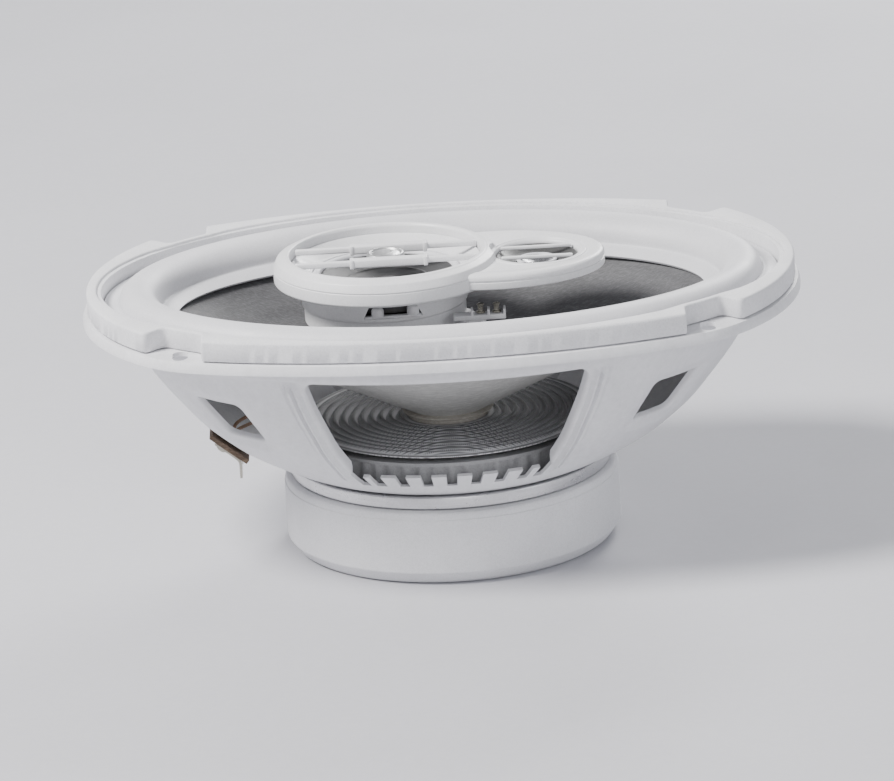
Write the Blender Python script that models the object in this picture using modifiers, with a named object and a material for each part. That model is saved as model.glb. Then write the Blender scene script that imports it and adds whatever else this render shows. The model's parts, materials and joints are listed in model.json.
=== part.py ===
"""Coaxial 6x9 inch car speaker: stamped oval basket, oval woofer, and a bridge with a midrange and a tweeter.

Frame: metres, +Z is the way the speaker faces, +X is the long side of the oval (tweeter end), and the
origin is the middle of the magnet boot's back face. Every piece is an object of its own. Sizes below
are in millimetres.
"""

import math

import bmesh
import bpy
from mathutils import Matrix, Vector

MM = 0.001
GAP = 0.3  # clearance between touching solids

# Mounting flange: an oval of side arcs and end arcs that meet in four rounded ears
LENGTH, WIDTH = 235.0, 164.0
SIDE_ARC_R, END_ARC_R, EAR_SHARPNESS = 235.4, 85.8, 60
FLANGE_TOP, LIP_BOTTOM, SHEET = 84.0, 80.5, 1.4
SLOT_X, SLOT_Y, SLOT_W, SLOT_L = 84.5, 58.6, 5.0, 9.0

# Basket: height and half-axes of its oval sections, from the flange down to the round base
RING_WALL = (105.0, 73.6)
BASKET_ROWS = (
    (82.6, *RING_WALL),
    (75.6, *RING_WALL),
    (74.4, 102.4, 72.6),
    (62.4, 95.0, 68.2),
    (46.6, 82.2, 59.4),
    (40.4, 74.8, 55.6),
    (36.4, 69.4, 52.8),
    (33.2, 62.4, 52.2),
    (31.0, 56.6, 52.0),
)
BASE_R, BASE_Z, FLOOR_HOLE_R = 51.2, 29.8, 19.0
WINDOW_T = (62.5, 117.5)  # big side windows, in degrees of the oval's parameter
WINDOW_Z = (36.4, 74.4)
VENT_T = ((30, 45), (135, 150))  # small end windows
VENT_Z = (46.6, 62.4)
LOUVRE_T = ((62.5, 65.5), *((90 + 7 * k - 2, 90 + 7 * k + 2) for k in range(-3, 4)), (114.5, 117.5))
LOUVRE_Z = (33.2, 36.4)  # row of slots under each big window
TERMINAL_T, TERMINAL_Z = (175, 180), (36.4, 40.4)  # opening behind the terminal board
EDGE_FOLD = 2.6  # depth of the turned-in edge round a window

# Gasket ring
GASKET_Z, GASKET_TOP, GASKET_INSET = 84.3, 91.0, 1.6
GASKET_HOLE = (111.0, 76.7)
# Notch in the gasket at each ear
NOTCH_WALL_X, NOTCH_END_X = 77.5, 97.0
NOTCH_FLOOR, NOTCH_FLOOR_X = 2.6, (88.0, 86.0, 84.0, 82.0, 79.5)  # gap to the hole, and where it is kept
NOTCH_PULL, NOTCH_CORNER = 4.5, 3.2

# Motor
BOOT_R, BOOT_TOP = 55.1, 25.1
PLATE_R, PLATE_Z, GAP_R = 52.8, (25.4, 29.5), 15.0
MAGNET_R, MAGNET_Z = (24.0, 50.5), (8.1, 25.1)
POLE_R, POLE_TOP, BORE_R = 11.8, 31.2, 3.2
YOKE_R, YOKE_Z = 50.0, (1.8, 7.8)
RIVET_R, RIVET_CIRCLE = 3.2, 34.0

# Woofer
CONE_EDGE, CONE_EDGE_Z, CONE_NECK_R, CONE_NECK_Z, CONE_T = (92.0, 57.8), 80.6, 13.25, 44.6, 1.0
FORMER_R, FORMER_Z = (12.45, 12.95), (21.5, 45.2)
WINDING_R, WINDING_Z = 14.1, (21.9, 33.5)
SPIDER_R, SPIDER_Z = 47.8, (39.9, 42.3)
SPIDER_RING_R = (42.5, 48.2)

# Bridge over the cone, with the midrange and the tweeter
POST_R, POST_Z, POST_BORE = 8.3, (31.5, 75.0), (3.0, 44.4)
MID_X, BASE_X, TWEETER_X = -17.5, -18.5, 31.8
RING_R, RING_Z, MOUTH_R = 36.9, (89.4, 98.4), 31.2
LOBE_X, LOBE_A, LOBE_B, LOBE_Z = 18.0, 36.0, 26.5, (90.3, 95.5)
TWEETER_HOLE_R = 13.5
BAR_Y, BAR_Z, BAR_REACH = 8.2, 96.8, 29.6
TWEETER_BAR_Y, TWEETER_BAR_Z, TWEETER_BAR_REACH = 5.8, 94.9, 11.6

# Terminal board, parallel to the basket's slope at the -X end
BOARD_AT, BOARD_SLOPE, BOARD_SIZE = (-71.5, 37.9), math.radians(38.7), (15.0, 24.0, 1.6)
BLADE_Y, BLADE_W, BLADE_T, BLADE_END_Z = 7.0, 6.3, 0.8, 26.0
LEAD_D = 1.2

# Colour, roughness and metallic value of each finish
FINISHES = {
    "painted_steel": ((0.80, 0.80, 0.82), 0.42, 0.0),
    "plated_steel": ((0.62, 0.63, 0.65), 0.30, 1.0),
    "boot_rubber": ((0.72, 0.72, 0.74), 0.60, 0.0),
    "gasket_rubber": ((0.78, 0.78, 0.80), 0.65, 0.0),
    "surround_rubber": ((0.74, 0.74, 0.77), 0.55, 0.0),
    "cone_paper": ((0.075, 0.075, 0.08), 0.70, 0.0),
    "spider_cloth": ((0.42, 0.42, 0.44), 0.85, 0.0),
    "ferrite": ((0.05, 0.05, 0.055), 0.55, 0.0),
    "pod_plastic": ((0.82, 0.82, 0.84), 0.38, 0.0),
    "dark_plastic": ((0.06, 0.06, 0.065), 0.45, 0.0),
    "diaphragm": ((0.07, 0.07, 0.075), 0.35, 0.0),
    "metal_dome": ((0.30, 0.30, 0.32), 0.28, 1.0),
    "copper": ((0.72, 0.38, 0.22), 0.35, 1.0),
    "coil_paper": ((0.55, 0.40, 0.25), 0.60, 0.0),
    "fibre_board": ((0.20, 0.17, 0.14), 0.70, 0.0),
    "tinned_brass": ((0.70, 0.68, 0.60), 0.32, 1.0),
}

# ---------------------------------------------------------------- helpers


def clear_scene():
    for thing in list(bpy.data.objects):
        bpy.data.objects.remove(thing, do_unlink=True)


def new_collection(name):
    made = bpy.data.collections.new(name)
    bpy.context.scene.collection.children.link(made)
    return made


def material(finish):
    found = bpy.data.materials.get(finish)
    if found:
        return found
    colour, roughness, metallic = FINISHES[finish]
    made = bpy.data.materials.new(finish)
    made.use_nodes = True
    shader = made.node_tree.nodes["Principled BSDF"]
    shader.inputs["Base Color"].default_value = (*colour, 1.0)
    shader.inputs["Roughness"].default_value = roughness
    shader.inputs["Metallic"].default_value = metallic
    return made


def add(name, data, finish, at=(0, 0, 0)):
    """An object of this mesh or curve in the part's collection."""
    made = bpy.data.objects.new(name, data)
    PARTS.objects.link(made)
    made.location = Vector(at) * MM
    data.materials.append(material(finish))
    if isinstance(data, bpy.types.Mesh):
        data.shade_smooth()
        data.set_sharp_from_angle(angle=math.radians(35))
    return made


def mesh_of(bm, name):
    data = bpy.data.meshes.new(name)
    bm.to_mesh(data)
    bm.free()
    return data


def turned(name, finish, profile, steps=40, at=(0, 0, 0)):
    """A solid of revolution about Z. The profile is (radius, height) points down its outer side; one
    that starts on the axis stays open there, and any other closes on itself."""
    bm = bmesh.new()
    points = [bm.verts.new((r * MM, 0, z * MM)) for r, z in profile]
    for first, second in zip(points, points[1:]):
        bm.edges.new((first, second))
    if profile[0][0] > 0:
        bm.edges.new((points[-1], points[0]))
    made = add(name, mesh_of(bm, name), finish, at)
    screw = made.modifiers.new("Turn", "SCREW")
    screw.steps = screw.render_steps = steps
    screw.use_merge_vertices = True
    screw.merge_threshold = 1e-5
    screw.use_smooth_shade = True
    return made


def disc(name, finish, radius, z, steps=32, at=(0, 0, 0)):
    low, high = z
    return turned(name, finish, [(0, high), (radius, high), (radius, low), (0, low)], steps, at)


def tube(name, finish, radii, z, steps=40, at=(0, 0, 0)):
    (inner, outer), (low, high) = radii, z
    return turned(name, finish, [(inner, high), (outer, high), (outer, low), (inner, low)], steps, at)


def slab(name, finish, outlines, z):
    """A flat plate from closed outlines in XY; those inside the first are holes."""
    low, high = z
    curve = bpy.data.curves.new(name, "CURVE")
    curve.dimensions = "2D"
    curve.fill_mode = "BOTH"
    curve.extrude = (high - low) / 2 * MM
    for outline in outlines:
        spline = curve.splines.new("POLY")
        spline.points.add(len(outline) - 1)
        for point, (x, y) in zip(spline.points, outline):
            point.co = (x * MM, y * MM, 0, 1)
        spline.use_cyclic_u = True
    return add(name, curve, finish, (0, 0, (low + high) / 2))


def as_mesh(thing):
    """The same object as a mesh, its caps welded, so that it can be a cutter."""
    bpy.context.view_layer.update()
    graph = bpy.context.evaluated_depsgraph_get()
    data = bpy.data.meshes.new_from_object(thing.evaluated_get(graph))
    bm = bmesh.new()
    bm.from_mesh(data)
    bmesh.ops.remove_doubles(bm, verts=bm.verts, dist=1e-6)
    bm.to_mesh(data)
    bm.free()
    name, place, finish = thing.name, thing.matrix_world.copy(), thing.data.materials[0].name
    bpy.data.objects.remove(thing, do_unlink=True)
    data.materials.clear()
    made = add(name, data, finish)
    made.matrix_world = place
    return made


def box(name, finish, size, at):
    bm = bmesh.new()
    bmesh.ops.create_cube(bm, size=1.0, matrix=Matrix.Diagonal((*(s * MM for s in size), 1.0)))
    return add(name, mesh_of(bm, name), finish, at)


def boolean(thing, other, operation="DIFFERENCE"):
    """Cuts or joins the object with another one, which is kept as a hidden wire guide."""
    PARTS.objects.unlink(other)
    CUTTERS.objects.link(other)
    other.hide_render = True
    other.display_type = "WIRE"
    made = thing.modifiers.new(other.name, "BOOLEAN")
    made.operation = operation
    made.object = other
    made.solver = "EXACT"


def ellipse(a, b, steps=64, centre=(0, 0)):
    turns = [2 * math.pi * i / steps for i in range(steps)]
    return [(centre[0] + a * math.cos(t), centre[1] + b * math.sin(t)) for t in turns]


def capsule(x, y, width, length, steps=8):
    """A slot outline, long in Y, centred on (x, y)."""
    r, half = width / 2, (length - width) / 2
    points = []
    for end, start in ((half, 0.0), (-half, math.pi)):
        for i in range(steps + 1):
            t = start + math.pi * i / steps
            points.append((x + r * math.cos(t), y + end + r * math.sin(t)))
    return points


def smooth_route(route, steps):
    """Points on a Catmull-Rom curve through the route."""
    padded = [2 * route[0] - route[1], *route, 2 * route[-1] - route[-2]]
    points = []
    for p0, p1, p2, p3 in zip(padded, padded[1:], padded[2:], padded[3:]):
        for i in range(steps):
            t = i / steps
            straight = 2 * p1 + (p2 - p0) * t
            bend = (2 * p0 - 5 * p1 + 4 * p2 - p3) * t**2 + (3 * p1 - p0 - 3 * p2 + p3) * t**3
            points.append((straight + bend) / 2)
    return [*points, route[-1]]


def wire(name, finish, route, thickness):
    """A round lead along a smooth curve through the route's points."""
    curve = bpy.data.curves.new(name, "CURVE")
    curve.dimensions = "3D"
    curve.bevel_depth = thickness / 2 * MM
    curve.bevel_resolution = 2
    curve.use_fill_caps = True
    points = smooth_route([Vector(p) for p in route], 3)
    spline = curve.splines.new("POLY")
    spline.points.add(len(points) - 1)
    for point, place in zip(spline.points, points):
        point.co = (*(place * MM), 1)
    return add(name, curve, finish)


# ---------------------------------------------------------------- flange outline


def arc_reach(angle, x, y, r):
    """Distance from the origin to the far side of a circle about (x, y), in this direction."""
    near = x * math.cos(angle) + y * math.sin(angle)
    return near + math.sqrt(near**2 - (x * x + y * y - r * r))


def outline_radius(angle):
    """Distance from the centre to the flange's edge in one quarter, from 0 at +X to 90 degrees."""
    end = arc_reach(angle, LENGTH / 2 - END_ARC_R, 0, END_ARC_R)
    side = arc_reach(angle, 0, WIDTH / 2 - SIDE_ARC_R, SIDE_ARC_R)
    if angle > math.radians(60):
        return side
    if angle < math.radians(20):
        return end
    return (end**-EAR_SHARPNESS + side**-EAR_SHARPNESS) ** (-1 / EAR_SHARPNESS)


def flange_point(t, inset=0.0):
    """The flange's edge in the direction of the oval's parameter t, moved in by `inset`."""
    x, y = RING_WALL[0] * math.cos(t), RING_WALL[1] * math.sin(t)
    angle = math.atan2(abs(y), abs(x))
    r = outline_radius(angle) - inset
    return math.copysign(r * math.cos(angle), x), math.copysign(r * math.sin(angle), y)


# ---------------------------------------------------------------- basket and gasket


def oval_columns():
    """Parameters of the basket's columns: every 5 degrees, two more beside each ear, and the slots' sides."""
    degrees = {5.0 * i for i in range(72) if not 60 < 5.0 * i % 180 < 120} | {90.0, 270.0}
    for ear in (45, 135, 225, 315):
        degrees |= {ear - 2.5, ear + 2.5}
    for slot in LOUVRE_T:
        degrees |= {t + half_turn for t in slot for half_turn in (0.0, 180.0)}
    return sorted(degrees)


def within(degrees, span):
    folded = degrees if degrees <= 180 else 360 - degrees
    return span[0] < folded < span[1]


def is_open(degrees, top, bottom):
    """Whether the basket's face between these heights, about this parameter, is cut away."""
    if within(degrees, WINDOW_T):
        window = WINDOW_Z[0] <= bottom and top <= WINDOW_Z[1]
    elif any(within(degrees, span) for span in VENT_T):
        window = VENT_Z[0] <= bottom and top <= VENT_Z[1]
    else:
        window = within(degrees, TERMINAL_T) and (bottom, top) == TERMINAL_Z
    slot = any(within(degrees, span) for span in LOUVRE_T) and (bottom, top) == LOUVRE_Z
    return window or slot


def fold_edges(bm):
    """Folds the edges of the windows and vents inwards, as the press does to stiffen them."""
    def on_frame(vert):
        x, z = vert.co.x / MM, vert.co.z / MM
        return z > WINDOW_Z[0] - 0.1 and z < WINDOW_Z[1] + 0.1 and not (z < 41 and abs(x) > 60)

    edges = [e for e in bm.edges if e.is_boundary and all(on_frame(v) for v in e.verts)]
    edges = [e for e in edges if max(v.co.z for v in e.verts) > (WINDOW_Z[0] + 0.1) * MM]
    for vert in bmesh.ops.extrude_edge_only(bm, edges=edges)["geom"]:
        if isinstance(vert, bmesh.types.BMVert):
            a, b = vert.co.x / RING_WALL[0] ** 2, vert.co.y / RING_WALL[1] ** 2
            vert.co -= Vector((a, b, 0)).normalized() * EDGE_FOLD * MM


def basket_sheet():
    """The basket's outer face as one open sheet, from the lip's lower edge to the floor's hole."""
    columns = oval_columns()
    turns = [math.radians(t) for t in columns]
    lip = [flange_point(t, SHEET) for t in turns]
    rows = [[(x, y, LIP_BOTTOM) for x, y in lip], [(x, y, FLANGE_TOP - SHEET) for x, y in lip]]
    floor = ((BASE_Z, BASE_R, BASE_R), (BASE_Z, FLOOR_HOLE_R, FLOOR_HOLE_R))
    for z, a, b in (*BASKET_ROWS, *floor):
        rows.append([(a * math.cos(t), b * math.sin(t), z) for t in turns])
    bm = bmesh.new()
    grid = [[bm.verts.new(Vector(p) * MM) for p in row] for row in rows]
    for upper, lower in zip(grid, grid[1:]):
        top, bottom = (round(row[0].co.z / MM, 1) for row in (upper, lower))
        for i, degrees in enumerate(columns):
            j = (i + 1) % len(columns)
            middle = (degrees + (columns[j] or 360.0)) / 2
            if not is_open(middle, top, bottom):
                bm.faces.new((upper[i], lower[i], lower[j], upper[j]))
    fold_edges(bm)
    return mesh_of(bm, "basket")


def make_basket():
    basket = add("basket", basket_sheet(), "painted_steel")
    sheet = basket.modifiers.new("Sheet", "SOLIDIFY")
    sheet.solidify_mode = "NON_MANIFOLD"
    sheet.nonmanifold_thickness_mode = "CONSTRAINTS"
    sheet.thickness = SHEET * MM
    sheet.offset = -1
    for i, (x, y) in enumerate(((1, 1), (-1, 1), (-1, -1), (1, -1))):
        outline = capsule(x * SLOT_X, y * SLOT_Y, SLOT_W, SLOT_L)
        slot = slab(f"ear_slot_{i + 1}", "painted_steel", [outline], (FLANGE_TOP - 2.5, FLANGE_TOP + 2.0))
        boolean(basket, as_mesh(slot))


def thinned(points, count):
    """About this many of the points, with both ends kept."""
    return [points[round(i * (len(points) - 1) / count)] for i in range(count + 1)]


def bend(a, b, c, d, steps):
    """Points of a cubic curve from a to d, both left out."""
    made = []
    for k in range(1, steps):
        t = k / steps
        shares = ((1 - t) ** 3, 3 * t * (1 - t) ** 2, 3 * t * t * (1 - t), t**3)
        made.append(tuple(sum(s * p[i] for s, p in zip(shares, (a, b, c, d))) for i in range(2)))
    return made


def carried_on(before, end, reach):
    """The point this far past `end` on the line from `before`."""
    scale = 1 + reach / math.dist(before, end)
    return tuple(p + (q - p) * scale for p, q in zip(before, end))


def gasket_outline():
    """The flange's outline, moved in, with a notch at each ear: a wall across the long side, a floor along
    the hole, and a curve out to the short end's edge."""
    edge = [flange_point(math.radians(90 * i / 120), GASKET_INSET) for i in range(121)]
    end = thinned([p for p in edge if p[0] > NOTCH_END_X], 6)
    side = thinned([p for p in edge if p[0] < NOTCH_WALL_X], 7)
    a, b = (half + NOTCH_FLOOR for half in GASKET_HOLE)
    floor = [(x, b * math.sqrt(1 - (x / a) ** 2)) for x in NOTCH_FLOOR_X]
    out, back = carried_on(end[-2], end[-1], NOTCH_PULL), carried_on(floor[1], floor[0], NOTCH_PULL)
    quarter = end + bend(end[-1], out, back, floor[0], 6) + floor
    quarter += [(NOTCH_WALL_X, floor[-1][1] + NOTCH_CORNER), (NOTCH_WALL_X, side[0][1]), *side]
    half = quarter + [(-x, y) for x, y in reversed(quarter[:-1])]
    return half + [(x, -y) for x, y in reversed(half[1:-1])]


def make_gasket():
    outlines = [gasket_outline(), ellipse(*GASKET_HOLE, 72)]
    slab("front_gasket", "gasket_rubber", outlines, (GASKET_Z, GASKET_TOP))


# ---------------------------------------------------------------- motor


def make_motor():
    turned("magnet_boot", "boot_rubber", [
        (53.0, BOOT_TOP), (54.5, 24.5), (BOOT_R, 23.0), (BOOT_R, 4.4), (52.6, 0.9), (51.2, 0.0),
        (22.0, 0.0), (22.0, 1.5), (50.8, 1.5), (50.8, BOOT_TOP),
    ], 48)
    turned("t_yoke", "plated_steel", [
        (BORE_R, POLE_TOP), (POLE_R, POLE_TOP), (POLE_R, YOKE_Z[1]), (YOKE_R, YOKE_Z[1]),
        (YOKE_R, YOKE_Z[0]), (6.4, YOKE_Z[0]), (6.4, 4.6), (BORE_R, 4.6),
    ])
    tube("magnet", "ferrite", MAGNET_R, MAGNET_Z)
    tube("top_plate", "plated_steel", (GAP_R, PLATE_R), PLATE_Z, 48)
    floor_top = BASE_Z + SHEET
    for i in range(4):
        t = math.radians(45 + 90 * i)
        place = (RIVET_CIRCLE * math.cos(t), RIVET_CIRCLE * math.sin(t), 0)
        disc(f"basket_rivet_{i + 1}", "plated_steel", RIVET_R, (floor_top + GAP, floor_top + 1.5), 14, place)
    turned("bridge_bolt", "plated_steel", [
        (0, 43.8), (2.7, 43.8), (2.7, 4.3), (5.4, 4.3), (5.4, 2.0), (0, 2.0),
    ], 18)


# ---------------------------------------------------------------- woofer


def oval_shell(name, finish, rows, thickness, steps):
    """A shell below a sheet through oval rows of (a, b, height), from the outer row inwards."""
    bm = bmesh.new()
    grid = []
    for a, b, z in rows:
        grid.append([bm.verts.new((x * MM, y * MM, z * MM)) for x, y in ellipse(a, b, steps)])
    for outer, inner in zip(grid, grid[1:]):
        for i in range(steps):
            j = (i + 1) % steps
            bm.faces.new((outer[i], outer[j], inner[j], inner[i]))
    made = add(name, mesh_of(bm, name), finish)
    sheet = made.modifiers.new("Thickness", "SOLIDIFY")
    sheet.thickness = thickness * MM
    sheet.offset = -1
    sheet.use_even_offset = True


def cone_row(s):
    """The cone's front face as an oval, at the fraction s of the way from neck to edge."""
    a, b = (CONE_NECK_R + (edge - CONE_NECK_R) * s for edge in CONE_EDGE)
    return a, b, CONE_NECK_Z + (CONE_EDGE_Z - CONE_NECK_Z) * s


def make_woofer():
    oval_shell("cone", "cone_paper", [cone_row(s) for s in (1, 0.66, 0.33, 0)], CONE_T, 60)
    skirt_z = CONE_EDGE_Z + CONE_T + GAP
    oval_shell("surround", "surround_rubber", [
        (110.2, 75.9, 85.1), (105.0, 71.7, 85.1), (103.3, 70.0, 88.4), (98.7, 65.2, 90.4),
        (94.2, 60.4, 88.0), (92.4, 58.5, skirt_z + 1.4), (91.4, 57.4, skirt_z), (86.9, 52.2, skirt_z - 2.1),
    ], 0.8, 60)
    tube("voice_coil_former", "coil_paper", FORMER_R, FORMER_Z)
    tube("voice_coil_winding", "copper", (FORMER_R[1] + GAP, WINDING_R), WINDING_Z)
    tube("spider", "spider_cloth", (FORMER_R[1] + GAP, SPIDER_R), SPIDER_Z, 48)
    tube("spider_ring", "pod_plastic", SPIDER_RING_R, (BASE_Z + SHEET + GAP, SPIDER_Z[0] - GAP), 48)


# ---------------------------------------------------------------- bridge with the small drivers


def make_bridge():
    bore_r, bore_top = POST_BORE
    turned("bridge_post", "pod_plastic", [
        (0, POST_Z[1]), (11.0, POST_Z[1]), (11.0, 73.2), (POST_R, 69.0), (POST_R, POST_Z[0]),
        (bore_r, POST_Z[0]), (bore_r, bore_top), (0, bore_top),
    ], 32)
    base = turned("pod_base", "pod_plastic", [
        (25.3, 89.1), (27.2, 89.1), (27.2, 81.6), (26.5, 81.2), (26.5, 76.0), (25.8, 75.3),
        (1.2, 75.3), (1.2, 76.9), (25.3, 76.9),
    ], 40, (BASE_X, 0, 0))
    boolean(base, box("pod_base_recess", "pod_plastic", (19, 8, 4.0), (-16, -26, 85.2)))
    housing = turned("pod_housing", "pod_plastic", [
        (MOUTH_R, 97.9), (31.8, RING_Z[1]), (33.0, RING_Z[1]), (35.6, 97.0), (RING_R, 94.0), (RING_R, 90.2),
        (36.1, RING_Z[0]), (28.2, RING_Z[0]), (28.2, 91.0), (MOUTH_R, 92.4),
    ], 48, (MID_X, 0, 0))
    lobe = as_mesh(slab("pod_lobe", "pod_plastic", [ellipse(LOBE_A, LOBE_B, 48, (LOBE_X, 0))], LOBE_Z))
    mouth = disc("pod_mouth", "pod_plastic", RING_R - 2.0, (RING_Z[0] - 4, RING_Z[1] + 4), 56, (MID_X, 0, 0))
    boolean(lobe, mouth)
    boolean(housing, lobe, "UNION")
    hole = disc("tweeter_hole", "pod_plastic", TWEETER_HOLE_R, (LOBE_Z[0] - 3, LOBE_Z[1] + 3), 40,
                (TWEETER_X, 0, 0))
    boolean(housing, hole)
    for side, name in ((-1, "front"), (1, "rear")):
        mid_bar = box(f"mid_bar_{name}", "pod_plastic", (2 * BAR_REACH, 1.7, 2.0), (MID_X, side * BAR_Y, BAR_Z))
        boolean(mid_bar, box(f"mid_bar_sleeve_{name}", "pod_plastic", (25, 3.2, 3.0),
                             (MID_X + 1, side * BAR_Y, BAR_Z)), "UNION")
        box(f"tweeter_bar_{name}", "pod_plastic", (2 * TWEETER_BAR_REACH, 1.2, 1.1),
            (TWEETER_X, side * TWEETER_BAR_Y, TWEETER_BAR_Z))
    disc("grille_badge", "plated_steel", 6.2, (95.6, 98.0), 28, (MID_X, 0, 0))
    for i, offset in enumerate((-5.0, 7.0)):
        angle = math.atan2(-26.0, offset + 2.5)
        place = (BASE_X + 26.2 * math.cos(angle), 26.2 * math.sin(angle), 0)
        disc(f"pod_screw_{i + 1}", "pod_plastic", 2.0, (83.6, 86.8), 16, place)


def make_terminal_arm():
    arm = box("pod_terminal_arm", "pod_plastic", (17.0, 5.0, 1.6), (12.0, -19.5, 80.0))
    leg = box("pod_terminal_leg", "pod_plastic", (6.0, 4.0, 5.0), (11.0, -19.5, 77.9))
    boolean(arm, leg, "UNION")
    for i, x in enumerate((12.4, 17.6)):
        disc(f"pod_lug_{i + 1}", "tinned_brass", 1.5, (81.1, 84.4), 14, (x, -19.5, 0))
    capacitor = disc("crossover_capacitor", "dark_plastic", 4.0, (-8.0, 8.0), 24, (20.0, 12.6, 85.0))
    capacitor.rotation_euler = (0, math.radians(90), 0)


def make_midrange():
    at = (MID_X, 0, 0)
    turned("mid_waveguide", "pod_plastic", [
        (24.5, 91.9), (30.4, 95.3), (30.9, 95.3), (30.9, 94.0), (24.5, 90.5),
    ], 32, at)
    turned("mid_frame", "dark_plastic", [
        (22.6, 90.0), (24.0, 90.0), (24.0, 84.0), (16.0, 79.2), (10.4, 79.2), (10.4, 80.6),
        (15.4, 80.6), (22.6, 85.0),
    ], 32, at)
    turned("mid_yoke", "plated_steel", [
        (0, 78.5), (7.7, 78.5), (7.7, 83.4), (9.3, 83.4), (9.3, 77.2), (0, 77.2),
    ], 24, at)
    disc("mid_magnet", "ferrite", 6.1, (78.8, 81.2), 24, at)
    disc("mid_pole_plate", "plated_steel", 6.4, (81.5, 83.2), 24, at)
    tube("mid_coil", "copper", (6.75, 7.35), (80.8, 85.9), 24, at)
    turned("mid_diaphragm", "diaphragm", [
        (0, 88.7), (4.0, 88.2), (7.2, 86.9), (21.6, 90.9), (21.6, 90.3), (7.2, 86.2), (3.7, 87.5), (0, 88.0),
    ], 32, at)
    turned("mid_surround", "surround_rubber", [
        (22.0, 91.0), (23.0, 91.8), (24.1, 91.0), (24.1, 90.4), (22.0, 90.4),
    ], 32, at)


def make_tweeter():
    at = (TWEETER_X, 0, 0)
    turned("tweeter_horn", "dark_plastic", [
        (6.8, 91.8), (12.9, 93.9), (13.2, 93.9), (13.2, 90.6), (6.8, 90.6),
    ], 28, at)
    turned("tweeter_dome", "metal_dome", [
        (0, 91.0), (2.7, 91.4), (5.2, 92.5), (5.2, 92.1), (2.9, 91.0), (0, 90.6),
    ], 24, at)
    turned("tweeter_surround", "surround_rubber", [
        (5.5, 92.4), (6.0, 92.8), (6.5, 92.4), (6.5, 92.0), (5.5, 92.0),
    ], 24, at)
    tube("tweeter_coil", "copper", (4.6, 5.1), (89.6, 91.3), 24, at)
    turned("tweeter_yoke", "plated_steel", [
        (0, 88.0), (5.6, 88.0), (5.6, 90.3), (7.9, 90.3), (7.9, 87.4), (7.3, 86.8), (0, 86.8),
    ], 24, at)
    disc("tweeter_magnet", "ferrite", 4.1, (88.3, 89.9), 24, at)


# ---------------------------------------------------------------- terminals


def on_board(along, out):
    """Point in XZ: `along` the slope down towards the magnet, `out` from the basket's outer face."""
    c, s = math.cos(BOARD_SLOPE), math.sin(BOARD_SLOPE)
    return BOARD_AT[0] + along * c - out * s, BOARD_AT[1] - along * s - out * c


def strip(name, finish, outline, y, width):
    """A bent strip: an outline in XZ, given width along Y."""
    made = slab(name, finish, [[(x, z) for x, z in outline]], (-width / 2, width / 2))
    made.location = (0, y * MM, 0)
    made.rotation_euler = (math.radians(90), 0, 0)
    return made


def make_terminals():
    length, width, thickness = BOARD_SIZE
    middle = on_board(0, 0.5 + thickness / 2)
    board = box("terminal_board", "fibre_board", BOARD_SIZE, (middle[0], 0, middle[1]))
    board.rotation_euler = (0, BOARD_SLOPE, 0)
    near = 0.5 + thickness + GAP
    for side, name, wide in ((-1, "positive", BLADE_W), (1, "negative", BLADE_W - 1.5)):
        top, bend = on_board(-4.5, near), on_board(4.0, near)
        outer_top, outer_bend = on_board(-4.5, near + BLADE_T), on_board(3.6, near + BLADE_T)
        foot = bend[0] + 1.3
        outline = [top, bend, (foot, bend[1] - 1.6), (foot, BLADE_END_Z), (foot - BLADE_T, BLADE_END_Z),
                   (foot - BLADE_T, outer_bend[1] - 1.2), outer_bend, outer_top]
        strip(f"terminal_blade_{name}", "tinned_brass", outline, side * BLADE_Y, wide)
        head = on_board(-1.5, near + BLADE_T + GAP + 0.5)
        rivet = disc(f"terminal_rivet_{name}", "plated_steel", 1.7, (-0.5, 0.5), 14,
                     (head[0], side * BLADE_Y, head[1]))
        rivet.rotation_euler = (0, BOARD_SLOPE, 0)
        wire(f"tinsel_lead_{name}", "copper", [
            (-71.0, side * 4.0, 38.9), (-69.4, side * 4.2, 41.2), (-64.5, side * 5.0, 43.6),
            (-58.5, side * 6.0, 46.6), (-53.6, side * 7.0, 51.4), (-50.2, side * 7.6, 55.6),
            (-47.0, side * 8.0, 58.2),
        ], LEAD_D)


clear_scene()
PARTS = new_collection("coaxial_speaker")
CUTTERS = new_collection("cutters")
CUTTERS.hide_render = True
make_basket()
make_gasket()
make_motor()
make_woofer()
make_bridge()
make_terminal_arm()
make_midrange()
make_tweeter()
make_terminals()
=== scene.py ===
"""Looks of the oval coaxial speaker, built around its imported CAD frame.

Lengths in this file are millimetres in the CAD's own frame: +Z is the way the speaker faces and +X is
the tweeter end of the oval. Meshes are written in metres.
"""

import json
import math

import bmesh
import bpy
import numpy as np
from mathutils import Matrix, Vector

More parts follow.
